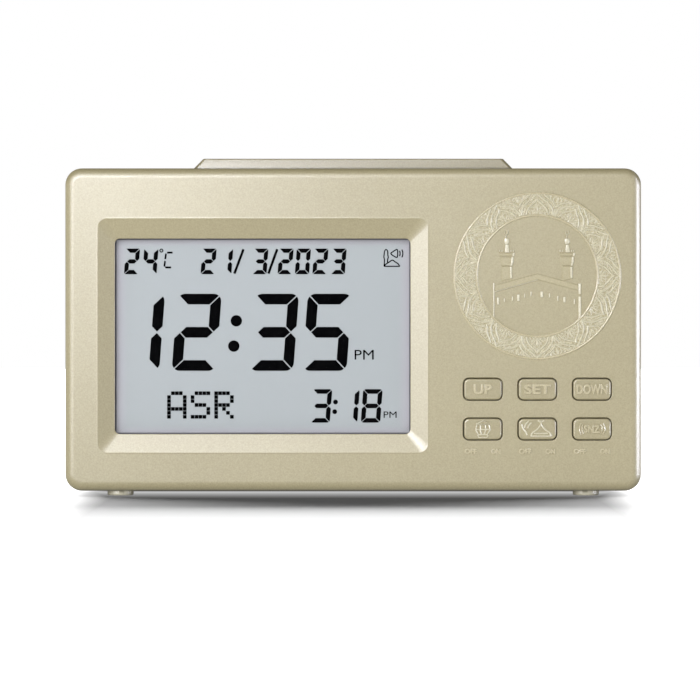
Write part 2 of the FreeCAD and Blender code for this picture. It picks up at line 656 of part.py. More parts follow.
def grille_slots():
    """Rounded slots across the loudspeaker, each as long as the circle allows."""
    slots = []
    for index in range(GRILLE_SLOTS):
        offset = (index - (GRILLE_SLOTS - 1) / 2) * GRILLE_PITCH
        half = math.sqrt(GRILLE_RADIUS ** 2 - offset ** 2)
        z = SPEAKER_HEIGHT + offset
        slots.append(slab((SPEAKER_X - half, SPEAKER_X + half),
                          (z - GRILLE_SLOT / 2, z + GRILLE_SLOT / 2),
                          (GRILLE_SLOT - GRILLE_SLOT_FLAT) / 2, INNER_BACK_Y - FIT,
                          BACK_Y + FIT))
    return slots


def speaker_screw_places():
    for index in range(SPEAKER_SCREW_COUNT):
        angle = math.radians(90 + index * 360 / SPEAKER_SCREW_COUNT)
        yield (SPEAKER_X + SPEAKER_SCREW_CIRCLE * math.cos(angle),
               SPEAKER_HEIGHT + SPEAKER_SCREW_CIRCLE * math.sin(angle))


def rear_form():
    """Outer form of the rear shell: it draws in to a rounded rear edge, bevelled at the seam."""
    bevel_y = SEAM_Y + SEAM_CHAMFER
    form = Part.makeLoft([case_outline(bevel_y, 0), case_outline(BACK_Y, 0)], True, True)
    form = form.makeFillet(REAR_EDGE_RADIUS, edges_in_plane(form, "Y", BACK_Y))
    bevel = Part.makeLoft([case_outline(SEAM_Y, SEAM_CHAMFER), case_outline(bevel_y, 0)],
                          True, True)
    return form.fuse(bevel)


def rear_cover():
    shell = rear_form()
    cavity = Part.makeLoft([case_outline(SEAM_Y, WALL), case_outline(INNER_BACK_Y, WALL)],
                           True, True)
    feet = [foot(side * FOOT_SPACING / 2, BACK_Y - REAR_FOOT_SETBACK).cut(cavity)
            for side in (-1, 1)]
    bosses = [rod(x, z, REAR_BOSS_RADIUS, SEAM_Y, INNER_BACK_Y + BACK_WALL / 2)
              for x, z in CASE_SCREWS]
    inner_radius = SPEAKER_RADIUS + SPEAKER_RING_CLEARANCE
    speaker_ring = ring(SPEAKER_X, SPEAKER_HEIGHT, inner_radius + SPEAKER_RING_WALL, inner_radius,
                        SCREW_HEAD_Y, INNER_BACK_Y + BACK_WALL / 2)
    speaker_bosses = [rod(x, z, SPEAKER_BOSS_RADIUS, SCREW_HEAD_Y, INNER_BACK_Y + BACK_WALL / 2)
                      for x, z in speaker_screw_places()]
    ribs = boss_ribs(SEAM_Y + LIP_ROOT, INNER_BACK_Y + BACK_WALL / 2,
                     HALF - REAR_TAPER - WALL / 2)
    shell = fused(shell.cut(cavity), rear_lip(), bay_body(), latch_pocket(BAY_WALL),
                  speaker_ring, *speaker_bosses, *bosses, *ribs, *feet)
    cutters = bay_cutters() + grille_slots()
    cutters.append(rod(SPEAKER_X, SPEAKER_HEIGHT, inner_radius, SCREW_HEAD_Y - FIT, INNER_BACK_Y))
    for x, z in CASE_SCREWS:
        cutters.append(rod(x, z, SCREW_RADIUS + 2 * FIT, SEAM_Y - FIT, BACK_Y + FIT))
        cutters.append(rod(x, z, SCREW_WELL_RADIUS, SEAM_Y + SCREW_WELL_FLOOR, BACK_Y + FIT))
    cutters += [rod(x, z, BOARD_SCREW_RADIUS + SCREW_CLEARANCE, SCREW_HEAD_Y - FIT,
                    INNER_BACK_Y + BACK_WALL / 2)
                for x, z in speaker_screw_places()]
    return shell.cut(cutters)


def rear_lip():
    """Lip that locates the rear shell inside the front one, and its root on the rear wall."""
    def band(outer, inner, y0, y1):
        solids = [Part.Face(case_outline(SEAM_Y, inset)).extrude(V(0, y1 - y0, 0))
                  for inset in (outer, inner)]
        return solids[0].cut(solids[1]).translated(V(0, y0 - SEAM_Y, 0))
    inner = WALL + FIT + LIP_THICKNESS
    lip = band(WALL + FIT, inner, SEAM_Y - LIP_LENGTH, SEAM_Y + LIP_ROOT)
    root = band(WALL - SEAM_CHAMFER, inner, SEAM_Y, SEAM_Y + LIP_ROOT)
    return lip.fuse(root)


# ================================================================ display
def lcd_lens():
    return slab(*lens_span(0), WINDOW_RADIUS, LENS_Y, LENS_Y + LENS_THICKNESS)


def glass_plate(z_range, layer):
    y = GLASS_Y + layer * GLASS_THICKNESS
    return box(GLASS_X, (y, y + GLASS_THICKNESS), z_range)


def guide_depth():
    start = GLASS_Y + 2 * GLASS_THICKNESS + SEAT
    return start, min(start + GUIDE_THICKNESS, BOARD_Y - SEAT)


def holder_span():
    return (grown(GLASS_X, HOLDER_CLEARANCE + HOLDER_WALL),
            grown(GLASS_Z, HOLDER_CLEARANCE + HOLDER_WALL))


def led_places():
    pitch = (CELL_Z[1] - CELL_Z[0]) / LED_COUNT
    return [CELL_Z[0] + (index + 0.5) * pitch for index in range(LED_COUNT)]


def led_box(z, grow):
    x0 = GLASS_X[1] + HOLDER_CLEARANCE
    return box((x0 - grow, x0 + LED_THICKNESS + grow),
               (BOARD_Y - LED_HEIGHT - grow, BOARD_Y),
               (z - LED_LENGTH / 2 - grow, z + LED_LENGTH / 2 + grow))


def lcd_holder():
    """Frame that squares the glass and the light guide up behind the lens."""
    x_range, z_range = holder_span()
    front = LENS_Y + LENS_THICKNESS + SEAT
    frame = slab(x_range, z_range, RECESS_RADIUS, front, BOARD_Y)
    pocket = box(grown(GLASS_X, HOLDER_CLEARANCE), (front, BOARD_Y),
                 grown(GLASS_Z, HOLDER_CLEARANCE))
    leds = [led_box(z, HOLDER_CLEARANCE) for z in led_places()]
    bosses = [rod(x, z, FRONT_BOSS_RADIUS + HOLDER_CLEARANCE, front - FIT, BOARD_Y + FIT)
              for x, z in CASE_SCREWS]
    return frame.cut([pocket] + leds + bosses)


def lcd_light_guide():
    return box(GLASS_X, guide_depth(), CELL_Z)


def rubber_strip():
    """Striped rubber contact between the glass ledge and the board."""
    x_range = grown(GLASS_X, -HOLDER_WALL)
    return box(x_range, (GLASS_Y + GLASS_THICKNESS, BOARD_Y),
               (GLASS_Z[0] + FIT, GLASS_Z[0] + FIT + RUBBER_STRIP_HEIGHT))


def backlight_leds():
    return Part.Compound([led_box(z, 0) for z in led_places()])


# ================================================================ circuit board
def main_board():
    board = slab(BOARD_X, BOARD_Z, BOARD_CORNER, BOARD_Y, BOARD_BACK_Y)
    cutters = [rod(x, z, FRONT_BOSS_RADIUS + 4 * FIT, BOARD_Y - FIT, BOARD_BACK_Y + FIT)
               for x, z in CASE_SCREWS]
    cutters += [rod(x, z, BOARD_SCREW_RADIUS + FIT, BOARD_Y - FIT, BOARD_BACK_Y + FIT)
                for x, z in BOARD_SCREWS]
    return max(board.cut(cutters).Solids, key=lambda solid: solid.Volume)


def board_screws():
    return Part.Compound([screw(x, z, BOARD_BACK_Y, BOARD_SCREW_HEAD, BOARD_SCREW_HEAD_HEIGHT,
                                BOARD_SCREW_RADIUS, BOARD_SCREW_LENGTH, 1)
                          for x, z in BOARD_SCREWS])


def switch_base(bore_depth):
    """Tactile switch standing on the plane z = 0, with its plunger well open at the top."""
    half = SWITCH_SIZE / 2
    block = box((-half, half), (-half, half), (0, SWITCH_BODY))
    block = block.makeChamfer(SWITCH_CHAMFER, edges_in_plane(block, "Z", SWITCH_BODY))
    legs = [box((side * (half + SWITCH_LEG / 2) - SWITCH_LEG / 2 - FIT,
                 side * (half + SWITCH_LEG / 2) + SWITCH_LEG / 2 + FIT),
                (y - SWITCH_LEG / 2, y + SWITCH_LEG / 2), (0, SWITCH_CHAMFER))
            for side in (-1, 1) for y in (-half + SWITCH_LEG, half - SWITCH_LEG)]
    well = post(0, 0, PLUNGER_RADIUS + PLUNGER_FIT, SWITCH_BODY - bore_depth, SWITCH_BODY + FIT)
    return fused(block, *legs).cut(well)


def key_switch(x, z):
    base = switch_base(PLUNGER_SUNK + KEY_TRAVEL + FIT)
    base.rotate(V(0, 0, 0), V(1, 0, 0), 90)
    base.translate(V(x, BOARD_Y, z))
    return base


def key_plunger(x, z):
    return rod(x, z, PLUNGER_RADIUS, BOARD_Y - SWITCH_TOTAL,
               BOARD_Y - SWITCH_BODY + PLUNGER_SUNK)


def bar_switch():
    """The same switch lying on the back of the board, pressed from above."""
    base = switch_base(PLUNGER_SUNK + BAR_TRAVEL + FIT)
    base.translate(V(0, BAR_SWITCH_Y + SEAT, BAR_SWITCH_TOP - SWITCH_BODY))
    return base


def bar_plunger():
    return post(0, BAR_SWITCH_Y + SEAT, PLUNGER_RADIUS, BAR_SWITCH_TOP - PLUNGER_SUNK,
                BAR_SWITCH_TOP + SWITCH_TOTAL - SWITCH_BODY)


def clock_chip():
    """Bare chip under a flat dome of black resin."""
    radius, height = CHIP_DOME_RADIUS, CHIP_DOME_HEIGHT
    sphere = (radius ** 2 + height ** 2) / (2 * height)
    x, z = chip_place()
    ball = Part.makeSphere(sphere, V(x, BOARD_BACK_Y + height - sphere, z))
    return ball.common(rod(x, z, radius + FIT, BOARD_BACK_Y, BOARD_BACK_Y + height + FIT))


def chip_place():
    return BAY_CENTRE_X, BAY_CENTRE_HEIGHT + CHIP_ABOVE_BAY


def sound_chip():
    length, width, height = SOUND_CHIP
    x, z = chip_place()
    x += CHIP_DOME_RADIUS + length
    body = box((x - length / 2, x + length / 2), (BOARD_BACK_Y + FIT, BOARD_BACK_Y + height),
               (z - width / 2, z + width / 2))
    pitch = length / SOUND_CHIP_LEGS
    legs = [box((x + (i + 0.5) * pitch - length / 2 - pitch / 5,
                 x + (i + 0.5) * pitch - length / 2 + pitch / 5),
                (BOARD_BACK_Y, BOARD_BACK_Y + height / 2),
                 (z - width / 2 - SOUND_CHIP_LEG, z + width / 2 + SOUND_CHIP_LEG))
            for i in range(SOUND_CHIP_LEGS)]
    return fused(body, *legs)


def quartz_crystal():
    """Watch crystal in its small can, lying on the board."""
    x, z = chip_place()
    x -= CHIP_DOME_RADIUS + CRYSTAL_GAP + CRYSTAL_RADIUS
    can = Part.makeCylinder(CRYSTAL_RADIUS, CRYSTAL_LENGTH,
                            V(x, BOARD_BACK_Y + CRYSTAL_RADIUS + SEAT, z - CRYSTAL_LENGTH / 2),
                            V(0, 0, 1))
    return can.makeChamfer(CRYSTAL_RADIUS / 4, edges_in_plane(can, "Z", z + CRYSTAL_LENGTH / 2))


def capacitors():
    cans = []
    for radius, height, dx, dz in CAPACITORS:
        x, z = dx, BAR_SWITCH_TOP - SWITCH_BODY - dz
        can = rod(x, z, radius, BOARD_BACK_Y, BOARD_BACK_Y + height)
        cans.append(can.makeChamfer(radius / 6, edges_in_plane(can, "Y", BOARD_BACK_Y + height)))
    return Part.Compound(cans)


def temperature_sensor():
    """Small bead at the lower edge of the board."""
    bead = Part.makeSphere(SENSOR_RADIUS, V(0, BOARD_BACK_Y, BOARD_Z[0] + 2 * SENSOR_RADIUS))
    keep = rod(0, BOARD_Z[0] + 2 * SENSOR_RADIUS, 2 * SENSOR_RADIUS, BOARD_BACK_Y,
               BOARD_BACK_Y + 2 * SENSOR_RADIUS)
    return bead.common(keep)


# ================================================================ keys and snooze bar
def key_cap(x, z):
    """Cap with a softened edge, its retaining flange and the stem that meets the plunger."""
    cap = slab(*key_span(x, z, 0), KEY_RADIUS, FACE_Y - KEY_PROUD, INNER_FACE_Y + SEAT)
    cap = cap.makeFillet(KEY_EDGE, edges_in_plane(cap, "Y", FACE_Y - KEY_PROUD))
    flange_y = INNER_FACE_Y + SEAT
    flange = slab(*key_span(x, z, KEY_GAP + KEY_FLANGE), KEY_RADIUS, flange_y,
                  flange_y + KEY_FLANGE_THICKNESS)
    stem = rod(x, z, KEY_STEM_RADIUS, flange_y, BOARD_Y - SWITCH_TOTAL)
    return fused(cap, flange, stem)


def snooze_bar():
    """Hollow bar with sloping ends, a flange that keeps it in, and a post to its switch."""
    x_range = (-BAR_LENGTH / 2, BAR_LENGTH / 2)
    skirt_z = TOP_Z - WALL - SEAT - BAR_FLANGE_THICKNESS
    base = outline(x_range, BAR_Y, BAR_RADIUS, level(TOP_Z))
    crest = outline(grown(x_range, -BAR_END_SLOPE), grown(BAR_Y, -BAR_SIDE_SLOPE), BAR_RADIUS,
                    level(TOP_Z + BAR_RISE))
    crown = Part.makeLoft([base, crest], True, True)
    crown = crown.makeFillet(BAR_EDGE, edges_in_plane(crown, "Z", TOP_Z + BAR_RISE))
    skirt = Part.Face(outline(x_range, BAR_Y, BAR_RADIUS, level(skirt_z))).extrude(
        V(0, 0, TOP_Z - skirt_z))
    flange = Part.Face(outline(grown(x_range, BAR_GAP + BAR_FLANGE),
                               grown(BAR_Y, BAR_GAP + BAR_FLANGE), BAR_RADIUS,
                               level(skirt_z))).extrude(V(0, 0, BAR_FLANGE_THICKNESS))
    ceiling = TOP_Z + BAR_RISE - BAR_TOP_WALL
    drawn_in = (ceiling - TOP_Z) / BAR_RISE
    hollow_y = grown(BAR_Y, -BAR_WALL - BAR_SIDE_SLOPE * drawn_in)
    hollow = box(grown(x_range, -BAR_WALL - BAR_END_SLOPE * drawn_in), hollow_y,
                 (skirt_z, ceiling))
    bar = fused(crown, skirt, flange).cut(hollow)
    foot_z = BAR_SWITCH_TOP + SWITCH_TOTAL - SWITCH_BODY
    column = post(0, BAR_SWITCH_Y + SEAT, BAR_POST_RADIUS, foot_z, ceiling + FIT)
    ribs = [box((x - BAR_RIB / 2, x + BAR_RIB / 2), grown(hollow_y, FIT),
                (TOP_Z - WALL, ceiling + FIT))
            for x in (-BAR_LENGTH / 4, 0, BAR_LENGTH / 4)]
    return fused(bar, column, *ribs)


# ================================================================ batteries
def battery(z, facing):
    """AA cell along X; facing +1 has its positive nub to the right."""
    start = BAY_X[0] + SEAT + CONTACT_THICKNESS + (SPRING_SPACE if facing > 0 else CELL_NUB_LENGTH)
    can = Part.makeCylinder(CELL_RADIUS, CELL_LENGTH, V(start, CELL_Y, z), V(1, 0, 0))
    ends = edges_in_plane(can, "X", start) + edges_in_plane(can, "X", start + CELL_LENGTH)
    can = can.makeChamfer(CELL_EDGE, ends)
    root = start + CELL_LENGTH if facing > 0 else start
    nub = Part.makeCylinder(CELL_NUB_RADIUS, CELL_NUB_LENGTH - 2 * SEAT, V(root, CELL_Y, z),
                            V(facing, 0, 0))
    return can.fuse(nub)


def contact_plate(end, z_range, tab):
    """Nickel plate at one end of the bay, with a tab through the bay's floor for its wire."""
    x_range = tab_span(end)
    half = CONTACT_SIZE / 2
    plate = box(x_range, (CELL_Y - half, CELL_Y + half), z_range)
    if not tab:
        return plate
    middle = sum(z_range) / 2
    stem = box(x_range, (BAY_FLOOR_Y - BAY_WALL - CONTACT_TAB_REACH, CELL_Y),
               (middle - CONTACT_TAB / 2, middle + CONTACT_TAB / 2))
    return fused(plate, stem)


def end_contact(z):
    half = CONTACT_SIZE / 2
    return contact_plate(0, (z - half, z + half), True)


def bridge_contact():
    half = CONTACT_SIZE / 2
    return contact_plate(1, (CELL_HEIGHTS[0] - half, CELL_HEIGHTS[1] + half), False)


def contact_spring(z, end):
    """Conical spring, squeezed between its plate and the flat end of a cell."""
    room = SPRING_SPACE - SPRING_WIRE - 3 * SEAT
    pitch = room / SPRING_TURNS
    slope = math.degrees(math.atan((SPRING_BASE_RADIUS - SPRING_TIP_RADIUS) / room))
    helix = Part.makeHelix(pitch, room, SPRING_BASE_RADIUS, -slope)
    half = SPRING_WIRE / 2
    corners = [V(SPRING_BASE_RADIUS + a, 0, b) for a, b in
               ((-half, 0), (0, -half), (half, 0), (0, half))]
    section = Part.makePolygon(corners + corners[:1])
    coil = Part.Wire(helix).makePipeShell([section], True, True)
    coil.rotate(V(0, 0, 0), V(0, 1, 0), 90 if end == 0 else -90)
    plate = tab_span(end)[1 if end == 0 else 0]
    offset = half + SEAT
    coil.translate(V(plate + (offset if end == 0 else -offset), CELL_Y, z))
    return coil


def battery_door():
    """Flush door with two tongues below, a bent spring latch above and finger ribs outside."""
    x_range = grown(DOOR_WINDOW_X, -DOOR_GAP)
    z_range = grown(DOOR_WINDOW_Z, -DOOR_GAP)
    inner = BACK_Y - DOOR_THICKNESS + SEAT
    plate = slab(x_range, z_range, DOOR_RADIUS, inner, BACK_Y)
    grip = [box((BAY_CENTRE_X - LATCH_WIDTH / 2, BAY_CENTRE_X + LATCH_WIDTH / 2),
                (BACK_Y - GRIP_DEPTH, BACK_Y + FIT),
                (z_range[1] - GRIP_INSET - (i + 0.5) * GRIP_PITCH,
                 z_range[1] - GRIP_INSET - i * GRIP_PITCH))
            for i in range(GRIP_RIBS)]
    plate = plate.cut(grip)
    tongue_y = (inner - DOOR_GAP - TONGUE_THICKNESS, inner - DOOR_GAP)
    tongues = []
    for x in tongue_places():
        x_span = (x - TONGUE_WIDTH / 2, x + TONGUE_WIDTH / 2)
        tongues.append(box(x_span, tongue_y, (HINGE_Z - TONGUE_REACH,
                                              z_range[0] + TONGUE_REACH)))
        tongues.append(box(x_span, (tongue_y[0], inner + FIT),
                           (z_range[0] + DOOR_LEDGE, z_range[0] + TONGUE_REACH)))
    return fused(plate, *tongues, door_latch(z_range[1]))


def door_latch(edge_z):
    """Strip bent into a U: in from the door's edge, round, and out again to a finger pad."""
    t, depth = LATCH_THICKNESS, LATCH_DEPTH
    inner = BACK_Y - DOOR_THICKNESS
    lower = (edge_z - t, edge_z)
    upper = (edge_z + LATCH_GAP, edge_z + LATCH_GAP + t)
    outer_radius = (upper[1] - lower[0]) / 2
    bend_y = inner - depth + outer_radius
    bend_z = (lower[0] + upper[1]) / 2
    half = LATCH_WIDTH / 2
    bend = Part.makeCylinder(outer_radius, LATCH_WIDTH,
                             V(BAY_CENTRE_X - half, bend_y, bend_z), V(1, 0, 0))
    bend = bend.cut(Part.makeCylinder(outer_radius - t, LATCH_WIDTH,
                                      V(BAY_CENTRE_X - half, bend_y, bend_z), V(1, 0, 0)))
    x_range = (BAY_CENTRE_X - half, BAY_CENTRE_X + half)
    bend = bend.common(box(x_range, (bend_y - 2 * outer_radius, bend_y),
                           (lower[0] - FIT, upper[1] + FIT)))
    legs = [box(x_range, (bend_y, BACK_Y - DOOR_THICKNESS / 2), lower),
            box(x_range, (bend_y, BACK_Y - SEAM_CHAMFER), upper)]
    pad = box(x_range, (BACK_Y - DOOR_THICKNESS / 2, BACK_Y - SEAM_CHAMFER),
              (upper[0], upper[1] + LATCH_LIP))
    return fused(bend, *legs, pad)


# ================================================================ loudspeaker
def speaker_frame():
    """Pressed basket: flange, sloping wall, floor, and a terminal strip for the wires."""
    rim = SPEAKER_RADIUS - SPEAKER_FLANGE_WIDTH
    floor, wall = BASKET_FLOOR_RADIUS, BASKET_WALL
    y, t = FLANGE_Y, SPEAKER_FLANGE_THICKNESS
    profile = [(rim, y), (SPEAKER_RADIUS, y), (SPEAKER_RADIUS, y - t), (rim + wall, y - t),
               (floor, BASKET_FLOOR_Y + wall), (floor, BASKET_FLOOR_Y),
               (YOKE_RADIUS / 2, BASKET_FLOOR_Y), (YOKE_RADIUS / 2, BASKET_FLOOR_Y + wall),
               (floor - wall, BASKET_FLOOR_Y + wall), (rim, y - t / 2)]
    basket = turned(profile, SPEAKER_X, SPEAKER_HEIGHT)
    strip = box((SPEAKER_X - TERMINAL_WIDTH / 2, SPEAKER_X + TERMINAL_WIDTH / 2),
                (BASKET_FLOOR_Y, BASKET_FLOOR_Y + wall),
                (SPEAKER_HEIGHT - floor - TERMINAL_REACH, SPEAKER_HEIGHT - floor + wall))
    return fused(basket, strip)


def speaker_magnet():
    ferrite = rod(SPEAKER_X, SPEAKER_HEIGHT, MAGNET_RADIUS, BASKET_FLOOR_Y - MAGNET_THICKNESS,
                  BASKET_FLOOR_Y)
    yoke = rod(SPEAKER_X, SPEAKER_HEIGHT, YOKE_RADIUS,
               BASKET_FLOOR_Y - MAGNET_THICKNESS - YOKE_THICKNESS,
               BASKET_FLOOR_Y - MAGNET_THICKNESS)
    return fused(ferrite, yoke)


def speaker_cone():
    """Paper cone with its roll edge, dust cap and voice coil tube, in one piece."""
    t, coil, y = CONE_THICKNESS, COIL_RADIUS, FLANGE_Y
    edge = SPEAKER_RADIUS - GASKET_WIDTH - FIT
    rim = SPEAKER_RADIUS - SPEAKER_FLANGE_WIDTH - 2 * t
    profile = [(0, y - CONE_DEPTH + 6 * t), (coil * 0.6, y - CONE_DEPTH + 5 * t),
               (coil - t, y - CONE_DEPTH + 2 * t), (rim - t, y), (rim, y + t), (edge, y + t),
               (edge, y), (rim + t, y), (rim, y - t), (coil, y - CONE_DEPTH),
               (coil, y - CONE_DEPTH - COIL_LENGTH), (coil - t, y - CONE_DEPTH - COIL_LENGTH),
               (coil - t, y - CONE_DEPTH + t), (coil * 0.6, y - CONE_DEPTH + 4 * t),
               (0, y - CONE_DEPTH + 5 * t)]
    return turned(profile, SPEAKER_X, SPEAKER_HEIGHT)


def speaker_gasket():
    return ring(SPEAKER_X, SPEAKER_HEIGHT, SPEAKER_RADIUS, SPEAKER_RADIUS - GASKET_WIDTH,
                FLANGE_Y, INNER_BACK_Y)


def speaker_screws():
    """Screws whose wide heads overlap the loudspeaker's flange."""
    length = INNER_BACK_Y + BACK_WALL / 2 - SCREW_HEAD_Y - FIT
    return Part.Compound([screw(x, z, SCREW_HEAD_Y, SPEAKER_SCREW_HEAD, BOARD_SCREW_HEAD_HEIGHT,
                                BOARD_SCREW_RADIUS, length, -1)
                          for x, z in speaker_screw_places()])


def case_screws():
    seat = SEAM_Y + SCREW_WELL_FLOOR
    return Part.Compound([screw(x, z, seat, SCREW_HEAD_RADIUS, SCREW_HEAD_HEIGHT, SCREW_RADIUS,
                                SCREW_WELL_FLOOR + SCREW_GRIP, 1)
                          for x, z in CASE_SCREWS])


# ================================================================ wires
def wire_route(start, shift, rise):
    """From a terminal forward to the back of the board, easing sideways and up on its way."""
    x, y, z = start
    middle_y = (y + BOARD_BACK_Y) / 2
    return [start, (x, y - WIRE_REST, z), (x + 0.7 * shift, middle_y, z + 0.4 * rise),
            (x + shift, BOARD_BACK_Y + WIRE_REST, z + rise), (x + shift, BOARD_BACK_Y, z + rise)]


def speaker_lead(side):
    """From the loudspeaker's terminal strip to the back of the board."""
    z = SPEAKER_HEIGHT - BASKET_FLOOR_RADIUS - TERMINAL_REACH + WIRE_DIAMETER
    start = (SPEAKER_X + side * TERMINAL_WIDTH / 4, BASKET_FLOOR_Y, z)
    return lead(wire_route(start, -SPEAKER_WIRE_SHIFT, -SPEAKER_WIRE_DROP))


def battery_lead(z, way):
    """From a contact's tab behind the bay to the back of the board; way is +1 up or -1 down."""
    start = (tab_span(0)[1] + WIRE_DIAMETER / 2, BAY_FLOOR_Y - BAY_WALL - SEAT, z)
    return lead(wire_route(start, BATTERY_WIRE_SHIFT, way * BATTERY_WIRE_SPREAD))


# ================================================================ assembly
def pieces():
    """Every separate piece of the clock, by its name."""
    made = {
        "front_case": front_case(),
        "rear_cover": rear_cover(),
        "lcd_lens": lcd_lens(),
        "lcd_front_glass": glass_plate(GLASS_Z, 0),
        "lcd_rear_glass": glass_plate(CELL_Z, 1),
        "lcd_light_guide": lcd_light_guide(),
        "lcd_holder": lcd_holder(),
        "lcd_rubber_strip": rubber_strip(),
        "backlight_leds": backlight_leds(),
        "main_board": main_board(),
        "board_screws": board_screws(),
        "clock_chip": clock_chip(),
        "sound_chip": sound_chip(),
        "quartz_crystal": quartz_crystal(),
        "capacitors": capacitors(),
        "temperature_sensor": temperature_sensor(),
        "snooze_bar": snooze_bar(),
        "snooze_bar_switch": bar_switch(),
        "snooze_bar_plunger": bar_plunger(),
        "battery_lower": battery(CELL_HEIGHTS[0], 1),
        "battery_upper": battery(CELL_HEIGHTS[1], -1),
        "battery_minus_contact": end_contact(CELL_HEIGHTS[0]),
        "battery_plus_contact": end_contact(CELL_HEIGHTS[1]),
        "battery_bridge_contact": bridge_contact(),
        "battery_minus_spring": contact_spring(CELL_HEIGHTS[0], 0),
        "battery_bridge_spring": contact_spring(CELL_HEIGHTS[1], 1),
        "battery_door": battery_door(),
        "speaker_frame": speaker_frame(),
        "speaker_magnet": speaker_magnet(),
        "speaker_cone": speaker_cone(),
        "speaker_gasket": speaker_gasket(),
        "speaker_screws": speaker_screws(),
        "case_screws": case_screws(),
        "speaker_lead_red": speaker_lead(-1),
        "speaker_lead_black": speaker_lead(1),
        "battery_lead_black": battery_lead(CELL_HEIGHTS[0], -1),
        "battery_lead_red": battery_lead(CELL_HEIGHTS[1], 1),
    }
    for name, x, z in key_places():
        made["key_" + name] = key_cap(x, z)
        made["switch_" + name] = key_switch(x, z)
        made["plunger_" + name] = key_plunger(x, z)
    return made


def main():
    os.makedirs("parts", exist_ok=True)
    for name, shape in pieces().items():
        solids = shape.Solids
        valid = all(solid.isValid() and solid.Volume > 0 for solid in solids)
        print(f"{name}: {len(solids)} solid(s), {shape.Volume:.1f} mm3, valid {valid}")
        body = solids[0] if len(solids) == 1 else Part.Compound(solids)
        body.exportStep(os.path.join("parts", name + ".step"))


main()
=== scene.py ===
"""Looks of the prayer time clock: champagne paint, display characters, key signs and the ornament.

Everything is in metres, in the clock's own frame: X to the viewer's right, Y from the front to the
back, Z up from the table.
"""
import json
import math

import bpy
from mathutils import Matrix, Vector

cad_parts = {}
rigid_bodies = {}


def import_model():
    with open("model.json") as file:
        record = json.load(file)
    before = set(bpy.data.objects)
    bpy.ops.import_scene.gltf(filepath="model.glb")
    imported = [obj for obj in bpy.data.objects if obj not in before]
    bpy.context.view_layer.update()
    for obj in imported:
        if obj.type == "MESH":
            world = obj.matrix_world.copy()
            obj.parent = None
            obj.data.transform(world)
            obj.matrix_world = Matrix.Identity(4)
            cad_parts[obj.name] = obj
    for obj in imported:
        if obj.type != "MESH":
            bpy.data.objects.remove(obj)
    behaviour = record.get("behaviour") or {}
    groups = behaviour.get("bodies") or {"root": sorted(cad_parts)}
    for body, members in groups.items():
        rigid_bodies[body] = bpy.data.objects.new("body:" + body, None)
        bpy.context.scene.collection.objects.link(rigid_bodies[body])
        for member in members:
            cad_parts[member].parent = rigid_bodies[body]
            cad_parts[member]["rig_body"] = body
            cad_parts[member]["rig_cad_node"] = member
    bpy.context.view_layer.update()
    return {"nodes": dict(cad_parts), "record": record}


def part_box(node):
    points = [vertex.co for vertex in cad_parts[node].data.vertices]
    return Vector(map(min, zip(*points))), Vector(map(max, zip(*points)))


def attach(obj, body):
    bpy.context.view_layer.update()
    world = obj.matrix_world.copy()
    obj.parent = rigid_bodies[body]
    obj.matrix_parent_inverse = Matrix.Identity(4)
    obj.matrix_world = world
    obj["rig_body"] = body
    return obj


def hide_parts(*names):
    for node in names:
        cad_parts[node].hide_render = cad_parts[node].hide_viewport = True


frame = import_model()
MM = 0.001

# ---------------------------------------------------------------- sizes taken from the frame
CASE_LOW, CASE_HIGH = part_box("front_case")
LENS_LOW, LENS_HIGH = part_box("lcd_lens")
KEY_NAMES = ("up", "set", "down", "light", "azan", "snooze")
KEY_PLACES = {}
for key_name in KEY_NAMES:
    key_low, key_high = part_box("key_" + key_name)
    KEY_PLACES[key_name] = (key_low + key_high) / 2
KEY_TOP_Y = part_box("key_up")[0].y

LENS_OVERLAP = 1.8 * MM
WINDOW_LEFT = LENS_LOW.x + LENS_OVERLAP
WINDOW_RIGHT = LENS_HIGH.x - LENS_OVERLAP
WINDOW_BOTTOM = LENS_LOW.z + LENS_OVERLAP
WINDOW_TOP = LENS_HIGH.z - LENS_OVERLAP
RIM_HEIGHT = 0.2 * MM
FOOT_TOP = 1.2 * MM         # height of the case's underside
FACE_Y = CASE_LOW.y + RIM_HEIGHT        # the front face lies behind the raised rims
ORNAMENT_X = KEY_PLACES["up"].x + 13.7 * MM
ORNAMENT_Z = 55.3 * MM
ORNAMENT_RADIUS = 21.0 * MM
ORNAMENT_INNER = 15.4 * MM

INK_THICKNESS = 0.06 * MM
INK_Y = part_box("lcd_front_glass")[0].y


# ================================================================ working with the mesh tools
CREASE = 35.0               # degrees
SOFT_CREASE = 60.0          # for rounded relief
FLAT_LIMIT = 0.3            # triangles flatter to each other than this become one face
WELD = 0.001 * MM           # points closer than this become one


def only(*objects):
    """Selects these objects alone; the first one is active."""
    if bpy.context.object and bpy.context.object.mode != "OBJECT":
        bpy.ops.object.mode_set(mode="OBJECT")
    bpy.ops.object.select_all(action="DESELECT")
    for obj in objects:
        obj.select_set(True)
    bpy.context.view_layer.objects.active = objects[0] if objects else None


def editing(obj):
    only(obj)
    bpy.ops.object.mode_set(mode="EDIT")
    bpy.ops.mesh.select_all(action="SELECT")


def settle(obj):
    """Moves an object's place and turn into its mesh."""
    only(obj)
    bpy.ops.object.transform_apply(location=True, rotation=True, scale=True)
    return obj


def smooth(obj, crease=CREASE):
    """Smooth shading with edges sharper than the crease kept, and flat faces kept flat."""
    only(obj)
    bpy.ops.object.shade_smooth_by_angle(angle=math.radians(crease))
    modifier = obj.modifiers.new("WEIGHTED_NORMAL", "WEIGHTED_NORMAL")
    modifier.keep_sharp = True
    modifier.weight = 100
    bpy.ops.object.modifier_apply(modifier=modifier.name)


def copied(obj, name):
    twin = obj.copy()
    twin.data = obj.data.copy()
    twin.name = name
    bpy.context.scene.collection.objects.link(twin)
    return twin


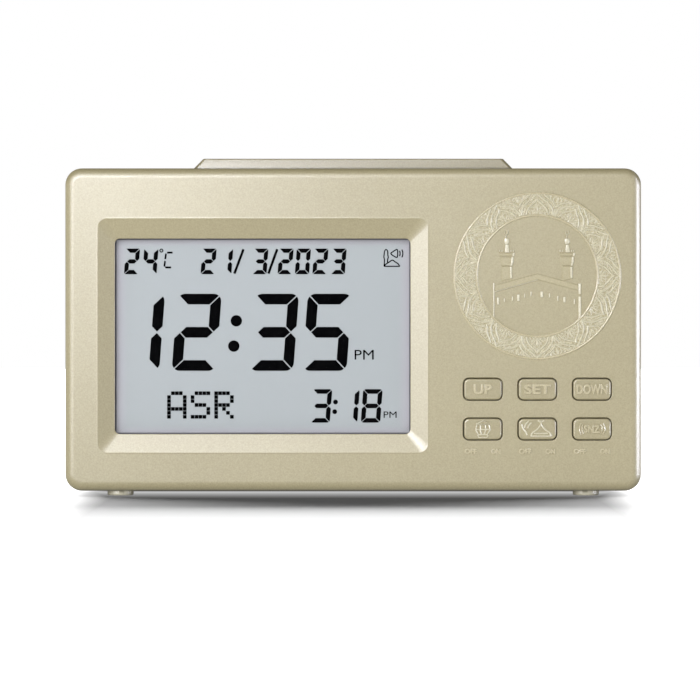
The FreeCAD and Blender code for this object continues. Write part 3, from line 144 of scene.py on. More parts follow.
def joined(objects, name):
    only(*objects)
    if len(objects) > 1:
        bpy.ops.object.join()
    whole = bpy.context.view_layer.objects.active
    whole.name = name
    return whole


def finished(obj, material, body):
    obj.data.materials.clear()
    obj.data.materials.append(material)
    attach(obj, body)


# ================================================================ shader maths
class Value:
    """A socket of a node tree; sums, products and comparisons of it add Math nodes."""

    def __init__(self, nodes, socket):
        self.nodes = nodes
        self.socket = socket

    def _math(self, operation, first, second=0.0):
        return self.nodes.node("ShaderNodeMath", {"operation": operation}, {0: first, 1: second})

    def __add__(self, other):
        return self._math("ADD", self, other)

    def __sub__(self, other):
        return self._math("SUBTRACT", self, other)

    def __rsub__(self, other):
        return self._math("SUBTRACT", other, self)

    def __mul__(self, other):
        return self._math("MULTIPLY", self, other)

    def __gt__(self, other):
        return self._math("GREATER_THAN", self, other)

    def __lt__(self, other):
        return self._math("LESS_THAN", self, other)

    def __or__(self, other):
        return self._math("MAXIMUM", self, other)

    def __abs__(self):
        return self._math("ABSOLUTE", self)

    __radd__ = __add__
    __rmul__ = __mul__


class Nodes:
    """A node tree whose nodes are made by type, settings and the values of their sockets."""

    def __init__(self, tree):
        self.tree = tree

    def feed(self, socket, value):
        if isinstance(value, Value):
            self.tree.links.new(value.socket, socket)
        elif isinstance(value, (tuple, list)) and len(value) == 3 and socket.type == "RGBA":
            socket.default_value = (*value, 1.0)
        else:
            socket.default_value = value

    def node(self, kind, settings=None, inputs=None, output=0):
        node = self.tree.nodes.new(kind)
        for name, value in (settings or {}).items():
            if name == "stops":
                ramp = node.color_ramp
                while len(ramp.elements) < len(value):
                    ramp.elements.new(0.5)
                for element, (place, colour) in zip(ramp.elements, value):
                    element.position, element.color = place, (*colour, 1.0)
            else:
                setattr(node, name, value)
        for name, value in (inputs or {}).items():
            self.feed(node.inputs[name], value)
        return Value(self, node.outputs[output])

    def parts(self, vector):
        """The three numbers of a vector."""
        split = self.node("ShaderNodeSeparateXYZ", {}, {"Vector": vector}).socket.node
        return [Value(self, part) for part in split.outputs]

    def span(self, value, low, high, start=0.0, end=1.0):
        """Smooth step of a value from low to high, from start to end."""
        return self.node("ShaderNodeMapRange", {"interpolation_type": "SMOOTHSTEP"},
                         {"Value": value, "From Min": low, "From Max": high,
                          "To Min": start, "To Max": end})


class Paint(Nodes):
    """A material whose Principled shader is set by name."""

    def __init__(self, name, **sockets):
        self.material = bpy.data.materials.new(name)
        self.material.use_nodes = True
        super().__init__(self.material.node_tree)
        self.shader = self.tree.nodes["Principled BSDF"]
        self.set(**sockets)

    def set(self, **sockets):
        """Sets sockets of the shader, as base_color=(r, g, b) or roughness=a Value."""
        for name, value in sockets.items():
            self.feed(self.shader.inputs[name.replace("_", " ").title()
                                         .replace("Ior", "IOR")], value)

    def place(self):
        """Position on the piece, in metres."""
        return self.node("ShaderNodeTexCoord", output="Object")

    def noise(self, scale, detail=2.0, roughness=0.5):
        return self.node("ShaderNodeTexNoise", {},
                         {"Vector": self.place(), "Scale": scale, "Detail": detail,
                          "Roughness": roughness}, "Fac")

    def ramp(self, value, *stops):
        return self.node("ShaderNodeValToRGB", {"stops": stops}, {"Fac": value}, "Color")

    def blend(self, factor, low, high):
        """Mix of two colours."""
        node = self.tree.nodes.new("ShaderNodeMix")
        node.data_type = "RGBA"
        self.feed(node.inputs["Factor"], factor)
        self.feed(node.inputs[6], low)
        self.feed(node.inputs[7], high)
        return Value(self, node.outputs[2])

    def bump(self, height, strength, distance):
        self.set(normal=self.node("ShaderNodeBump", {}, {"Height": height, "Strength": strength,
                                                         "Distance": distance}, "Normal"))


# ================================================================ finishes
FLAKE_SCALE = 2600.0        # flakes of about 0.4 mm
FLAKE_DETAIL = 3.0
FLAKE_CRISPNESS = 0.7
FLAKE_LOW, FLAKE_HIGH = 0.30, 0.72      # where the deep tone ends and the light tone starts
GRAIN_SCALE = 5200.0
GRAIN_SWING = 0.12          # roughness from one grain to the next
CLOUD_SCALE = 18.0
CLOUD_SHARE = 0.2
CHAMPAGNE_LIGHT = (0.415, 0.363, 0.212)
CHAMPAGNE_DEEP = (0.300, 0.258, 0.140)
PAINTED_HIGHLIGHT_LIFT = (1.80, 1.94, 2.55)   # painted highlight: raised lines painted paler and less yellow than the case, for the light they catch
FOOT_PAINTED_LIGHT_SHARE = 0.8            # of the pale tone in the paint below the joint: painted light that brightens the feet
# colour of the painted shade above a joint
PAINTED_SHADE_TONE = (0.01, 0.008, 0.004)
CASE_PAINTED_SHADE = (FOOT_TOP, 0.5 * MM, 0.6)          # height, reach and depth of the painted shade above the case's underside
# painted shade at the foot of the snooze bar
BAR_PAINTED_SHADE = (CASE_HIGH.z, 0.5 * MM, 0.95)
NET_SCALE = 1150.0          # meshes of about 0.9 mm
NET_EDGE = (0.03, 0.16)     # from the middle of a line of the net to its rim
NET_SHARE = 0.34
COAT = {"specular_ior_level": 0.6, "coat_weight": 0.35}


def tinted(tone, lift):
    return tuple(part * share for part, share in zip(tone, lift))


def champagne(name, roughness=0.40, lift=(1.0, 1.0, 1.0), grain=0.16, shade=None):
    """Champagne pearl paint: two tones of flake, faint clouding and a fine orange peel; with shade
    given, a painted shade just above that height and painted light below it.
    """
    paint = Paint(name, coat_roughness=0.36, **COAT)
    flake = paint.noise(FLAKE_SCALE, FLAKE_DETAIL, FLAKE_CRISPNESS)
    cloud = paint.noise(CLOUD_SCALE, 2.0)
    deep, light = (tinted(tone, lift) for tone in (CHAMPAGNE_DEEP, CHAMPAGNE_LIGHT))
    tone = paint.ramp(flake * (1.0 - CLOUD_SHARE) + cloud * CLOUD_SHARE,
                      (FLAKE_LOW, deep), (FLAKE_HIGH, light))
    if shade:
        level, reach, depth = shade
        height = paint.parts(paint.place())[2] - level
        # painted shade: darkens the paint just above the given height
        painted_shade_mask = paint.span(height, 0.0, reach, depth, 0.0) * (height > 0.0)
        tone = paint.blend(painted_shade_mask, tone, PAINTED_SHADE_TONE)
        # painted light: below the given height the paint turns paler, which shows on the feet
        tone = paint.blend((height < 0.0) * FOOT_PAINTED_LIGHT_SHARE, tone, tinted(CHAMPAGNE_LIGHT, PAINTED_HIGHLIGHT_LIFT))
    paint.set(base_color=tone, roughness=(paint.noise(GRAIN_SCALE) * GRAIN_SWING
                                          + (roughness - GRAIN_SWING / 2)))
    paint.bump(paint.noise(GRAIN_SCALE, 2.0), grain, 0.00004)
    return paint.material


def lace():
    """Ground of the ornament band: a fine net over the case's own paint, net and ground painted
    paler as painted highlight.
    """
    paint = Paint("lace_ground", coat_roughness=0.3, **COAT)
    net = paint.node("ShaderNodeTexVoronoi", {"feature": "DISTANCE_TO_EDGE"},
                     {"Vector": paint.place(), "Scale": NET_SCALE}, "Distance")
    line = paint.span(net, *NET_EDGE, 1.0, 0.0)
    flake = paint.noise(FLAKE_SCALE, FLAKE_DETAIL, FLAKE_CRISPNESS)
    ground = paint.ramp(flake, (FLAKE_LOW, CHAMPAGNE_DEEP),
                        (FLAKE_HIGH, tinted(CHAMPAGNE_LIGHT, (1.1,) * 3)))
    paint.set(base_color=paint.blend(line * NET_SHARE, ground, tinted(CHAMPAGNE_LIGHT, PAINTED_HIGHLIGHT_LIFT)),
              roughness=0.42 - line * 0.1)
    paint.bump(line, 0.5, 0.00012)
    return paint.material


def display_glass():
    """Grey of the film behind the liquid crystal, faintly mauve at the edges and painted paler
    there against the recess's shade, with a painted shade line round the window.
    """
    paint = Paint("display_film", roughness=0.55, specular_ior_level=0.2)
    x, _, z = paint.parts(paint.place())
    half_width, half_height = (WINDOW_RIGHT - WINDOW_LEFT) / 2, (WINDOW_TOP - WINDOW_BOTTOM) / 2
    across = abs(x - (WINDOW_LEFT + WINDOW_RIGHT) / 2)
    up = abs(z - (WINDOW_BOTTOM + WINDOW_TOP) / 2)
    edge = paint.span(across * (1 / half_width) | up * (1 / half_height), 0.9, 1.0)
    cloud = paint.noise(26.0, 1.0)
    # towards the edges the film turns faintly mauve and paler; the paleness is painted light
    # against the recess's shade
    tone = paint.ramp(edge * 0.8 + cloud * 0.2, (0.1, (0.515, 0.556, 0.576)),
                      (0.95, (0.60, 0.585, 0.645)))
    beyond = (across - half_width) | (up - half_height)
    rim = paint.span(beyond, -0.45 * MM, -0.15 * MM)        # painted shade: the thin dark line round the window's edge
    paint.set(base_color=paint.blend(rim, tone, (0.16, 0.16, 0.18)))
    return paint.material


def ink():
    paint = Paint("display_ink", roughness=0.8, specular_ior_level=0.0)
    paint.set(base_color=paint.ramp(paint.noise(400.0), (0.3, (0.001, 0.001, 0.0015)),
                                    (0.7, (0.003, 0.003, 0.0035))))
    return paint.material


def clear_lens():
    paint = Paint("clear_lens", roughness=0.15, specular_ior_level=0.15)
    edge_on = paint.node("ShaderNodeLayerWeight", {}, {"Blend": 0.35}, "Facing")
    paint.set(base_color=paint.ramp(paint.noise(30.0), (0.3, (0.02, 0.022, 0.023)),
                                    (0.7, (0.03, 0.032, 0.034))),
              alpha=edge_on * 0.35 + 0.02)
    return paint.material


def moulded(name, low, high, roughness=0.5, scale=900.0, metallic=0.0, relief=0.15):
    """Plain moulded, cast or pressed stuff of one tone with a fine grain."""
    paint = Paint(name, metallic=metallic)
    grain = paint.noise(scale, 3.0)
    paint.set(base_color=paint.ramp(grain, (0.3, low), (0.7, high)),
              roughness=grain * 0.2 + (roughness - 0.1))
    paint.bump(grain, relief, 0.00005)
    return paint.material


def brushed(name, tone, scale=1200.0, roughness=0.3):
    """Metal drawn or plated, with faint streaks along X."""
    paint = Paint(name, metallic=1.0)
    stretch = paint.node("ShaderNodeMapping", {}, {"Vector": paint.place(),
                                                   "Scale": (0.05, 1.0, 1.0)}, "Vector")
    streak = paint.node("ShaderNodeTexNoise", {}, {"Vector": stretch, "Scale": scale}, "Fac")
    dark = tuple(part * 0.8 for part in tone)
    paint.set(base_color=paint.ramp(streak, (0.3, dark), (0.7, tone)),
              roughness=streak * 0.15 + (roughness - 0.07))
    paint.bump(streak, 0.1, 0.00003)
    return paint.material


CASE_PAINT = champagne("case_paint", shade=CASE_PAINTED_SHADE)
# darker copies of the case paint on the keys (slightly) and the snooze bar are painted shade
KEY_PAINT = champagne("key_paint", 0.34, (0.98, 0.98, 0.98))
# paler copies of the case paint on signs, slabs and raised lines are painted highlight
SIGN_PAINT = champagne("sign_paint", 0.28, (1.36, 1.38, 1.52), 0.08)
SLAB_PAINT = champagne("slab_paint", 0.34, (1.14, 1.15, 1.2), 0.08)
BAR_PAINT = champagne("bar_paint", 0.34, (0.75, 0.75, 0.75), shade=BAR_PAINTED_SHADE)
RELIEF_PAINT = champagne("relief_paint", 0.28, PAINTED_HIGHLIGHT_LIFT, 0.08)
LACE_PAINT = lace()
INK = ink()
FINISHES = {
    "display_glass": display_glass(),
    "clear_lens": clear_lens(),
    "light_guide": moulded("milky_acrylic", (0.78, 0.80, 0.78), (0.86, 0.87, 0.86), 0.3),
    "dark_frame": moulded("black_moulding", (0.012, 0.012, 0.012), (0.022, 0.022, 0.023)),
    "black_rubber": moulded("contact_rubber", (0.02, 0.02, 0.02), (0.06, 0.06, 0.06), 0.7),
    "lamp": moulded("lamp_body", (0.80, 0.74, 0.45), (0.86, 0.82, 0.60), 0.3),
    "board": moulded("solder_resist", (0.015, 0.085, 0.035), (0.03, 0.13, 0.06), 0.4),
    "screw_steel": brushed("zinc_steel", (0.55, 0.55, 0.56)),
    "chip_resin": moulded("black_resin", (0.008, 0.008, 0.009), (0.02, 0.02, 0.02), 0.35),
    "can_steel": brushed("nickel_can", (0.62, 0.61, 0.58)),
    "can_aluminium": moulded("capacitor_sleeve", (0.015, 0.02, 0.07), (0.03, 0.04, 0.12), 0.35),
    "sensor_bead": moulded("sensor_resin", (0.10, 0.04, 0.02), (0.16, 0.07, 0.03), 0.3),
    "switch_body": moulded("switch_body", (0.012, 0.012, 0.012), (0.025, 0.025, 0.025)),
    "switch_plunger": moulded("switch_plunger", (0.02, 0.02, 0.02), (0.035, 0.035, 0.035)),
    "contact_nickel": brushed("nickel_strip", (0.66, 0.64, 0.58)),
    "speaker_steel": brushed("zinc_pressing", (0.50, 0.50, 0.48)),
    "ferrite": moulded("ferrite", (0.02, 0.02, 0.022), (0.04, 0.04, 0.042), 0.6),
    "cone_paper": moulded("cone_paper", (0.012, 0.012, 0.012), (0.03, 0.03, 0.03), 0.8, 1500.0),
    "gasket_card": moulded("gasket_card", (0.10, 0.07, 0.04), (0.18, 0.13, 0.08), 0.8),
    "lead_red": moulded("red_insulation", (0.35, 0.01, 0.008), (0.45, 0.02, 0.012), 0.4),
    "lead_black": moulded("black_insulation", (0.01, 0.01, 0.01), (0.02, 0.02, 0.02), 0.4),
    "case_shell": CASE_PAINT,
    "key_shell": KEY_PAINT,
    "bar_shell": BAR_PAINT,
}


CELL_NUB = 1.8 * MM         # bare steel at a cell's plus end
CELL_RIM = 0.7 * MM         # and at its minus end
BAND_SHARE = 0.24           # of a cell's length, for the band at its plus end


def cell_wrap(node, plus):
    """Dry cell in a black sleeve, with a brass-coloured band at its plus end and steel ends."""
    low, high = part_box(node)
    paint = Paint(node + "_wrap", specular_ior_level=0.5)
    x = paint.parts(paint.place())[0]
    ends = (x < low.x + CELL_RIM) | (x > high.x - CELL_NUB)
    band = x > high.x - BAND_SHARE * (high.x - low.x)
    if plus == "left":
        ends = (x < low.x + CELL_NUB) | (x > high.x - CELL_RIM)
        band = x < low.x + BAND_SHARE * (high.x - low.x)
    grain = paint.noise(2500.0, 2.0)
    black = paint.ramp(grain, (0.3, (0.018, 0.019, 0.021)), (0.7, (0.026, 0.027, 0.03)))
    brass = paint.ramp(grain, (0.3, (0.46, 0.30, 0.11)), (0.7, (0.54, 0.36, 0.14)))
    steel = paint.ramp(grain, (0.3, (0.55, 0.54, 0.52)), (0.7, (0.62, 0.61, 0.59)))
    paint.set(base_color=paint.blend(ends, paint.blend(band, black, brass), steel),
              metallic=ends | band * 0.8, roughness=grain * 0.08 + 0.28)
    return paint.material


CELL_FINISHES = {"battery_lower": cell_wrap("battery_lower", "right"),
                 "battery_upper": cell_wrap("battery_upper", "left")}


def dress_frame():
    """Gives every CAD piece the finish of its slot."""
    slots = {row["node"]: row["material_slot"] for row in frame["record"]["subparts"]}
    for name, obj in frame["nodes"].items():
        obj.data.materials.clear()
        obj.data.materials.append(CELL_FINISHES.get(name) or FINISHES[slots[name]])
    return slots


def skin(node):
    """Smooth-shaded copy of a CAD piece, which stands for it."""
    twin = copied(frame["nodes"][node], node + "_skin")
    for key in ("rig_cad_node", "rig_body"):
        del twin[key]
    twin.parent = None
    editing(twin)
    bpy.ops.mesh.remove_doubles(threshold=2 * WELD)
    bpy.ops.mesh.dissolve_limited(angle_limit=math.radians(FLAT_LIMIT))
    bpy.ops.object.mode_set(mode="OBJECT")
    smooth(twin)
    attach(twin, frame["nodes"][node]["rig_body"])
    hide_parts(node)


# ================================================================ display characters
SLANT = math.tan(math.radians(4.3))
LIT = {"0": "abcdef", "1": "bc", "2": "abdeg", "3": "abcdg", "4": "bcfg", "5": "acdfg",
       "8": "abcdefg"}


def plate(width, height, corner, cuts):
    """Upright plate with rounded corners round the origin, cut off beyond each (point, normal)."""
    only()
    bpy.ops.mesh.primitive_plane_add(size=1.0, rotation=(math.pi / 2, 0.0, 0.0))
    obj = bpy.context.object
    obj.scale = (width, height, 1.0)
    settle(obj)
    editing(obj)
    bpy.ops.mesh.bevel(offset=corner, segments=8, affect="VERTICES")
    for (x, z), (nx, nz) in cuts:
        bpy.ops.mesh.select_all(action="SELECT")
        bpy.ops.mesh.bisect(plane_co=(x, 0.0, z), plane_no=(nx, 0.0, nz), clear_outer=True)
    bpy.ops.mesh.select_all(action="SELECT")
    bpy.ops.mesh.extrude_region_move(TRANSFORM_OT_translate={"value": (0.0, -INK_THICKNESS, 0.0)})
    bpy.ops.mesh.select_all(action="SELECT")
    bpy.ops.mesh.normals_make_consistent(inside=False)
    bpy.ops.object.mode_set(mode="OBJECT")
    return obj


def segments(width, height, bar, gap, corner):
    """The seven bars of a digit, as plates round the digit's centre."""
    right, top = width / 2, height / 2
    split = gap / math.sqrt(2)
    middle = right - bar / 2

    def mirrored(cuts, flip_x, flip_z):
        return [((x * flip_x, z * flip_z), (nx * flip_x, nz * flip_z))
                for (x, z), (nx, nz) in cuts]

    upper = [((0.0, top - bar), (0.0, -1.0)),
             ((right - split, top), (1.0, -1.0)),
             ((-right + split, top), (-1.0, -1.0))]
    centre = [((0.0, bar / 2), (0.0, 1.0)), ((0.0, -bar / 2), (0.0, -1.0)),
              ((middle - split, 0.0), (1.0, 1.0)), ((middle - split, 0.0), (1.0, -1.0)),
              ((-middle + split, 0.0), (-1.0, 1.0)), ((-middle + split, 0.0), (-1.0, -1.0))]
    side = [((right - bar, 0.0), (-1.0, 0.0)),
            ((right, top - split), (-1.0, 1.0)),
            ((middle, split), (1.0, -1.0)),
            ((middle, split), (-1.0, -1.0))]
    cuts = {"a": upper, "d": mirrored(upper, 1, -1), "g": centre,
            "b": side, "c": mirrored(side, 1, -1),
            "f": mirrored(side, -1, 1), "e": mirrored(side, -1, -1)}
    return {name: plate(width, height, corner, cut) for name, cut in cuts.items()}


def disc(radius, thickness, steps=24):
    only()
    bpy.ops.mesh.primitive_cylinder_add(vertices=steps, radius=radius, depth=thickness,
                                        rotation=(math.pi / 2, 0.0, 0.0))
    return settle(bpy.context.object)


def placed(obj, x, z, slant=0.0, y=INK_Y):
    """Leans a flat shape to the right and puts it in its place on the face at depth y."""
    lean = Matrix.Identity(4)
    lean[0][2] = slant
    obj.data.transform(lean)
    obj.data.transform(Matrix.Translation((x, y, z)))
    return obj


def number(digits, width, height, bar, gap, corner, middle_z):
    """Digits of one size, each lit from the seven bars; digits are (sign, middle column)."""
    bars = segments(width, height, bar, gap, corner)
    parts = []
    for sign, column in digits:
        for lit in LIT[sign]:
            parts.append(placed(copied(bars[lit], "bar"), gx(column), middle_z, SLANT))
    for spare in bars.values():
        bpy.data.objects.remove(spare)
    return parts


def words(text, size, depth, bold=0.0, rounding=0.0):
    """Upright letters round the origin, as a mesh standing depth in front of it."""
    only()
    bpy.ops.object.text_add(rotation=(math.pi / 2, 0.0, 0.0))
    obj = bpy.context.object
    obj.data.body = text
    obj.data.size = size
    obj.data.align_x = "CENTER"
    obj.data.align_y = "CENTER"
    obj.data.extrude = depth / 2 - rounding
    obj.data.offset = bold
    obj.data.bevel_depth = rounding
    obj.data.resolution_u = 4
    bpy.ops.object.convert(target="MESH")
    settle(bpy.context.object)
    obj = bpy.context.object
    editing(obj)
    bpy.ops.mesh.remove_doubles(threshold=WELD)
    bpy.ops.object.mode_set(mode="OBJECT")
    obj.data.transform(Matrix.Translation((0.0, -depth / 2, 0.0)))
    return obj


def fitted(obj, x_range, z_range):
    """Stretches a flat shape to these limits."""
    low = [min(v.co[i] for v in obj.data.vertices) for i in range(3)]
    high = [max(v.co[i] for v in obj.data.vertices) for i in range(3)]
    scale_x = (x_range[1] - x_range[0]) / (high[0] - low[0])
    scale_z = (z_range[1] - z_range[0]) / (high[2] - low[2])
    obj.data.transform(Matrix.Translation((-low[0], 0.0, -low[2])))
    obj.data.transform(Matrix.Diagonal((scale_x, 1.0, scale_z, 1.0)))
    obj.data.transform(Matrix.Translation((x_range[0], 0.0, z_range[0])))
    return obj


def even(_):
    return 1.0


def leaf_taper(share):
    """Width of a leaf along its length: narrow stalk, full middle, pointed tip."""
    return 0.35 + 1.35 * math.sin(math.pi * share ** 0.8)


def strokes(paths, width, height, y, closed=False, smooth=True, taper=even):
    """Rounded raised lines along paths of (x, z) points, standing on the face at depth y."""
    curve = bpy.data.curves.new("stroke", "CURVE")
    curve.dimensions = "3D"
    curve.bevel_depth = width / 2
    curve.bevel_resolution = 1
    curve.resolution_u = 4
    curve.use_fill_caps = True
    for path in paths:
        spline = curve.splines.new("NURBS" if smooth else "POLY")
        spline.points.add(len(path) - 1)
        for index, (point, (x, z)) in enumerate(zip(spline.points, path)):
            point.co = (x, 0.0, z, 1.0)
            point.radius = taper(index / (len(path) - 1))
        if smooth:
            spline.order_u = 3
            spline.use_endpoint_u = not closed
        spline.use_cyclic_u = closed
    obj = bpy.data.objects.new("stroke", curve)
    bpy.context.scene.collection.objects.link(obj)
    only(obj)
    bpy.ops.object.convert(target="MESH")
    obj = bpy.context.object
    obj.data.transform(Matrix.Diagonal((1.0, 2 * height / width, 1.0, 1.0)))
    obj.data.transform(Matrix.Translation((0.0, y, 0.0)))
    return obj


PX = 0.2512 * MM            # one step of the display's layout grid
GRID_X, GRID_Z = 353.2, 495.9


def gx(column):
    return (column - GRID_X) * PX


def gz(row):
    return (GRID_Z - row) * PX


def grid(points, column=0.0):
    """Places of (column, row) points of the layout grid, counted across from a column."""
    return [(gx(column + x), gz(row)) for x, row in points]


CAMERA_DISTANCE = 900 * MM
CAMERA_CENTRE = Vector((gx(350.0), 0.0, gz(350.0)))
VIEW_WIDTH = 700 * PX


def display_time():
    """The large hours and minutes with their colon."""
    size = dict(width=44.3 * PX, height=77.0 * PX, bar=10.6 * PX, gap=1.1 * PX, corner=8.0 * PX)
    digits = zip("1235", (140.0, 196.7, 274.0, 327.2))
    parts = number(digits, middle_z=gz(332.3), **size)
    for column, row in ((236.3, 320.8), (233.8, 346.1)):
        parts.append(placed(disc(5.7 * PX, INK_THICKNESS, 32), gx(column), gz(row)))
    return parts


def display_date():
    """Temperature and date along the top of the display."""
    size = dict(width=14.2 * PX, height=25.6 * PX, bar=4.2 * PX, gap=0.55 * PX, corner=1.8 * PX)
    digits = zip("242132023",
                 (132.0, 150.4, 208.6, 225.2, 260.4, 285.6, 302.9, 320.4, 338.6))
    parts = number(digits, middle_z=gz(261.4), **size)
    for low, high in ((234.4, 243.5), (268.4, 277.2)):
        parts.append(strokes([grid([(low, 273.6), (high, 249.2)])], 2.9 * PX,
                             INK_THICKNESS, INK_Y, smooth=False))
    ring_points = [(gx(161.4) + 1.5 * PX * math.cos(a), gz(250.6) + 1.5 * PX * math.sin(a))
                   for a in (i * math.pi / 6 for i in range(12))]
    parts.append(strokes([ring_points], 1.2 * PX, INK_THICKNESS, INK_Y, closed=True))
    letter = [grid(line) for line in ([(167.0, 252.6), (172.6, 252.6)],
                                      [(166.0, 253.6), (165.3, 259.2)],
                                      [(165.1, 260.8), (164.4, 266.6)],
                                      [(165.2, 267.4), (171.2, 267.4)])]
    parts.append(strokes(letter, 2.1 * PX, INK_THICKNESS, INK_Y, smooth=False))
    return parts


def display_prayer():
    """The next prayer's name in dots and its time."""
    rows = {"A": ("01110", "10001", "10001", "10001", "11111", "10001", "10001"),
            "S": ("01111", "10000", "10000", "01110", "00001", "00001", "11110"),
            "R": ("11110", "10001", "10001", "11110", "10100", "10010", "10001")}
    pitch = 3.93 * PX
    dot_size = 0.93 * pitch
    parts = []
    for index, letter in enumerate("ASR"):
        for row, line in enumerate(rows[letter]):
            for column, lit in enumerate(line):
                if lit == "1":
                    x = gx(169.0) + (index * 6 + column) * pitch
                    parts.append(placed(plate(dot_size, dot_size, 0.1 * dot_size, []),
                                        x, gz(393.2) - row * pitch))
    size = dict(width=19.4 * PX, height=33.4 * PX, bar=4.5 * PX, gap=0.6 * PX, corner=3.0 * PX)
    digits = zip("318", (321.3, 348.8, 371.7))
    parts += number(digits, middle_z=gz(405.9), **size)
    for column, row in ((335.5, 402.0), (334.7, 411.7)):
        parts.append(placed(disc(2.4 * PX, INK_THICKNESS), gx(column), gz(row)))
    return parts


def display_words():
    """Afternoon signs beside both times."""
    parts = []
    for left, right, top, bottom in ((354.6, 373.7, 349.9, 359.6), (383.6, 396.6, 411.5, 417.8)):
        sign = words("PM", 10 * PX, INK_THICKNESS)
        sign = fitted(sign, (gx(left), gx(right)), (gz(bottom), gz(top)))
        parts.append(placed(sign, 0.0, 0.0))
    return parts


def display_icon():
    """Small sign of a minaret, a dome and a loudspeaker with its sound."""
    lines = [[(0.6, 0.3), (1.2, 7.2), (0.2, 9.2), (0.6, 11.2), (0.9, 15.4), (2.6, 17.6),
              (4.4, 15.4), (4.2, 11.2), (5.0, 9.2), (3.9, 7.2), (4.0, 3.8)],
             [(0.6, 0.4), (2.2, 2.6), (6.0, 4.6), (8.8, 7.0), (11.8, 4.6), (15.0, 2.8),
              (16.2, 0.4)],
             [(0.4, 0.3), (16.4, 0.3)],
             [(7.2, 13.4), (13.0, 17.6), (14.2, 16.6), (14.2, 9.8), (13.0, 8.8), (7.2, 12.4),
              (7.2, 13.4)],
             [(16.0, 10.4), (17.2, 13.0), (16.0, 15.8)],
             [(18.4, 9.2), (20.2, 13.0), (18.4, 17.0)]]
    left, foot = 383.5, 266.6
    placed_lines = [[(gx(left + x), gz(foot - y)) for x, y in line] for line in lines]
    return [strokes(placed_lines, 1.35 * PX, INK_THICKNESS, INK_Y)]


def make_display():
    """The layout grid lies in the plane of the face, so on the glass it is a little larger."""
    growth = (CAMERA_DISTANCE + INK_Y - FACE_Y) / CAMERA_DISTANCE
    outwards = (Matrix.Translation(CAMERA_CENTRE) @ Matrix.Diagonal((growth, 1.0, growth, 1.0))
                @ Matrix.Translation(-CAMERA_CENTRE))
    for name, parts in (("display_time", display_time()), ("display_date", display_date()),
                        ("display_prayer", display_prayer()), ("display_words", display_words()),
                        ("display_icon", display_icon())):
        whole = joined(parts, name)
        whole.data.transform(outwards)
        finished(whole, INK, "case")


# ================================================================ key signs
SIGN_DEPTH = 0.30 * MM
SIGN_ROUNDING = 0.11 * MM
SIGN_LINE = 0.42 * MM


def key_sign(key, parts, paint=SIGN_PAINT):
    sign = joined(parts, "sign_" + key)
    smooth(sign)
    finished(sign, paint, "key_" + key)


def make_key_signs():
    for key, text, width, height in (("up", "UP", 4.7, 2.6), ("set", "SET", 6.7, 2.6),
                                     ("down", "DOWN", 7.8, 2.6), ("snooze", "SNZ", 4.1, 2.0)):
        centre = KEY_PLACES[key]
        letters = words(text, 3 * MM, SIGN_DEPTH, 0.04 * MM, SIGN_ROUNDING)
        half_width, half_height = width * MM / 2, height * MM / 2
        fitted(letters, (centre.x - half_width, centre.x + half_width),
               (centre.z - half_height, centre.z + half_height))
        parts = [placed(letters, 0.0, 0.0, y=KEY_TOP_Y)]
        if key == "snooze":
            parts.append(sound_waves(centre))
        key_sign(key, parts)
    key_sign("light", [lantern_sign(KEY_PLACES["light"])], RELIEF_PAINT)
    key_sign("azan", [dome_sign(KEY_PLACES["azan"])], RELIEF_PAINT)


def sound_waves(centre):
    """Two short arcs on each side of the letters."""
    paths = []
    for side in (-1, 1):
        for radius in (2.6, 3.2):
            angles = [math.radians(a) for a in (-32, -16, 0, 16, 32)]
            paths.append([(centre.x + side * radius * math.cos(a) * MM,
                           centre.z + radius * 0.85 * math.sin(a) * MM) for a in angles])
    return strokes(paths, SIGN_LINE, SIGN_DEPTH, KEY_TOP_Y)


def about(centre, lines):
    """Lines of (x, z) points in millimetres round a key's centre."""
    return [[(centre.x + x * MM, centre.z + z * MM) for x, z in line] for line in lines]


def lantern_sign(centre):
    """A hanging lantern in outline."""
    lines = [[(-1.7, 1.2), (0.0, 2.1), (1.7, 1.2), (-1.7, 1.2)],
             [(-1.5, 1.1), (-1.8, -0.2), (-1.1, -1.4), (1.1, -1.4), (1.8, -0.2), (1.5, 1.1)],
             [(-0.6, 1.0), (-0.7, -0.2), (-0.4, -1.3)],
             [(0.6, 1.0), (0.7, -0.2), (0.4, -1.3)],
             [(-1.7, -0.1), (1.7, -0.1)],
             [(-1.3, -1.5), (-1.0, -2.1), (1.0, -2.1), (1.3, -1.5)]]
    return strokes(about(centre, lines), 0.9 * SIGN_LINE, SIGN_DEPTH, KEY_TOP_Y, smooth=False)


def dome_sign(centre):
    """A flat dome with a finial, and small sound marks to its left."""
    lines = [[(-1.6, -1.75), (-1.5, -1.0), (-0.3, -0.3), (0.6, 0.6), (0.9, 1.3)],
             [(0.9, 1.3), (1.2, 0.6), (2.1, -0.3), (3.3, -1.0), (3.4, -1.75)],
             [(-1.7, -1.75), (3.5, -1.75)], [(-0.9, -1.1), (2.6, -1.1)],
             [(0.9, 1.2), (0.9, 1.6)], [(0.1, 2.2), (0.9, 1.5), (1.7, 2.2)],
             [(-2.2, 2.0), (-3.1, 1.3), (-3.2, 0.3)],
             [(-1.5, 1.6), (-2.3, 1.0), (-2.4, 0.2)],
             [(-3.9, 1.2), (-3.8, -0.2), (-2.6, -0.9)],
             [(-3.2, -0.3), (-2.6, -1.5)]]
    return strokes(about(centre, lines), SIGN_LINE, SIGN_DEPTH, KEY_TOP_Y)


def make_switch_marks():
    """OFF and ON under each key of the lower row."""
    parts = []
    for key in ("light", "azan", "snooze"):
        centre = KEY_PLACES[key]
        for text, left, right in (("OFF", -4.6, -1.4), ("ON", 2.1, 4.5)):
            letters = words(text, 1.5 * MM, 0.22 * MM, 0.03 * MM, 0.07 * MM)
            fitted(letters, (centre.x + left * MM, centre.x + right * MM),
                   (10.5 * MM, 11.9 * MM))
            parts.append(placed(letters, 0.0, 0.0, y=FACE_Y))
    marks = joined(parts, "off_on_marks")
    smooth(marks)
    finished(marks, SIGN_PAINT, "case")


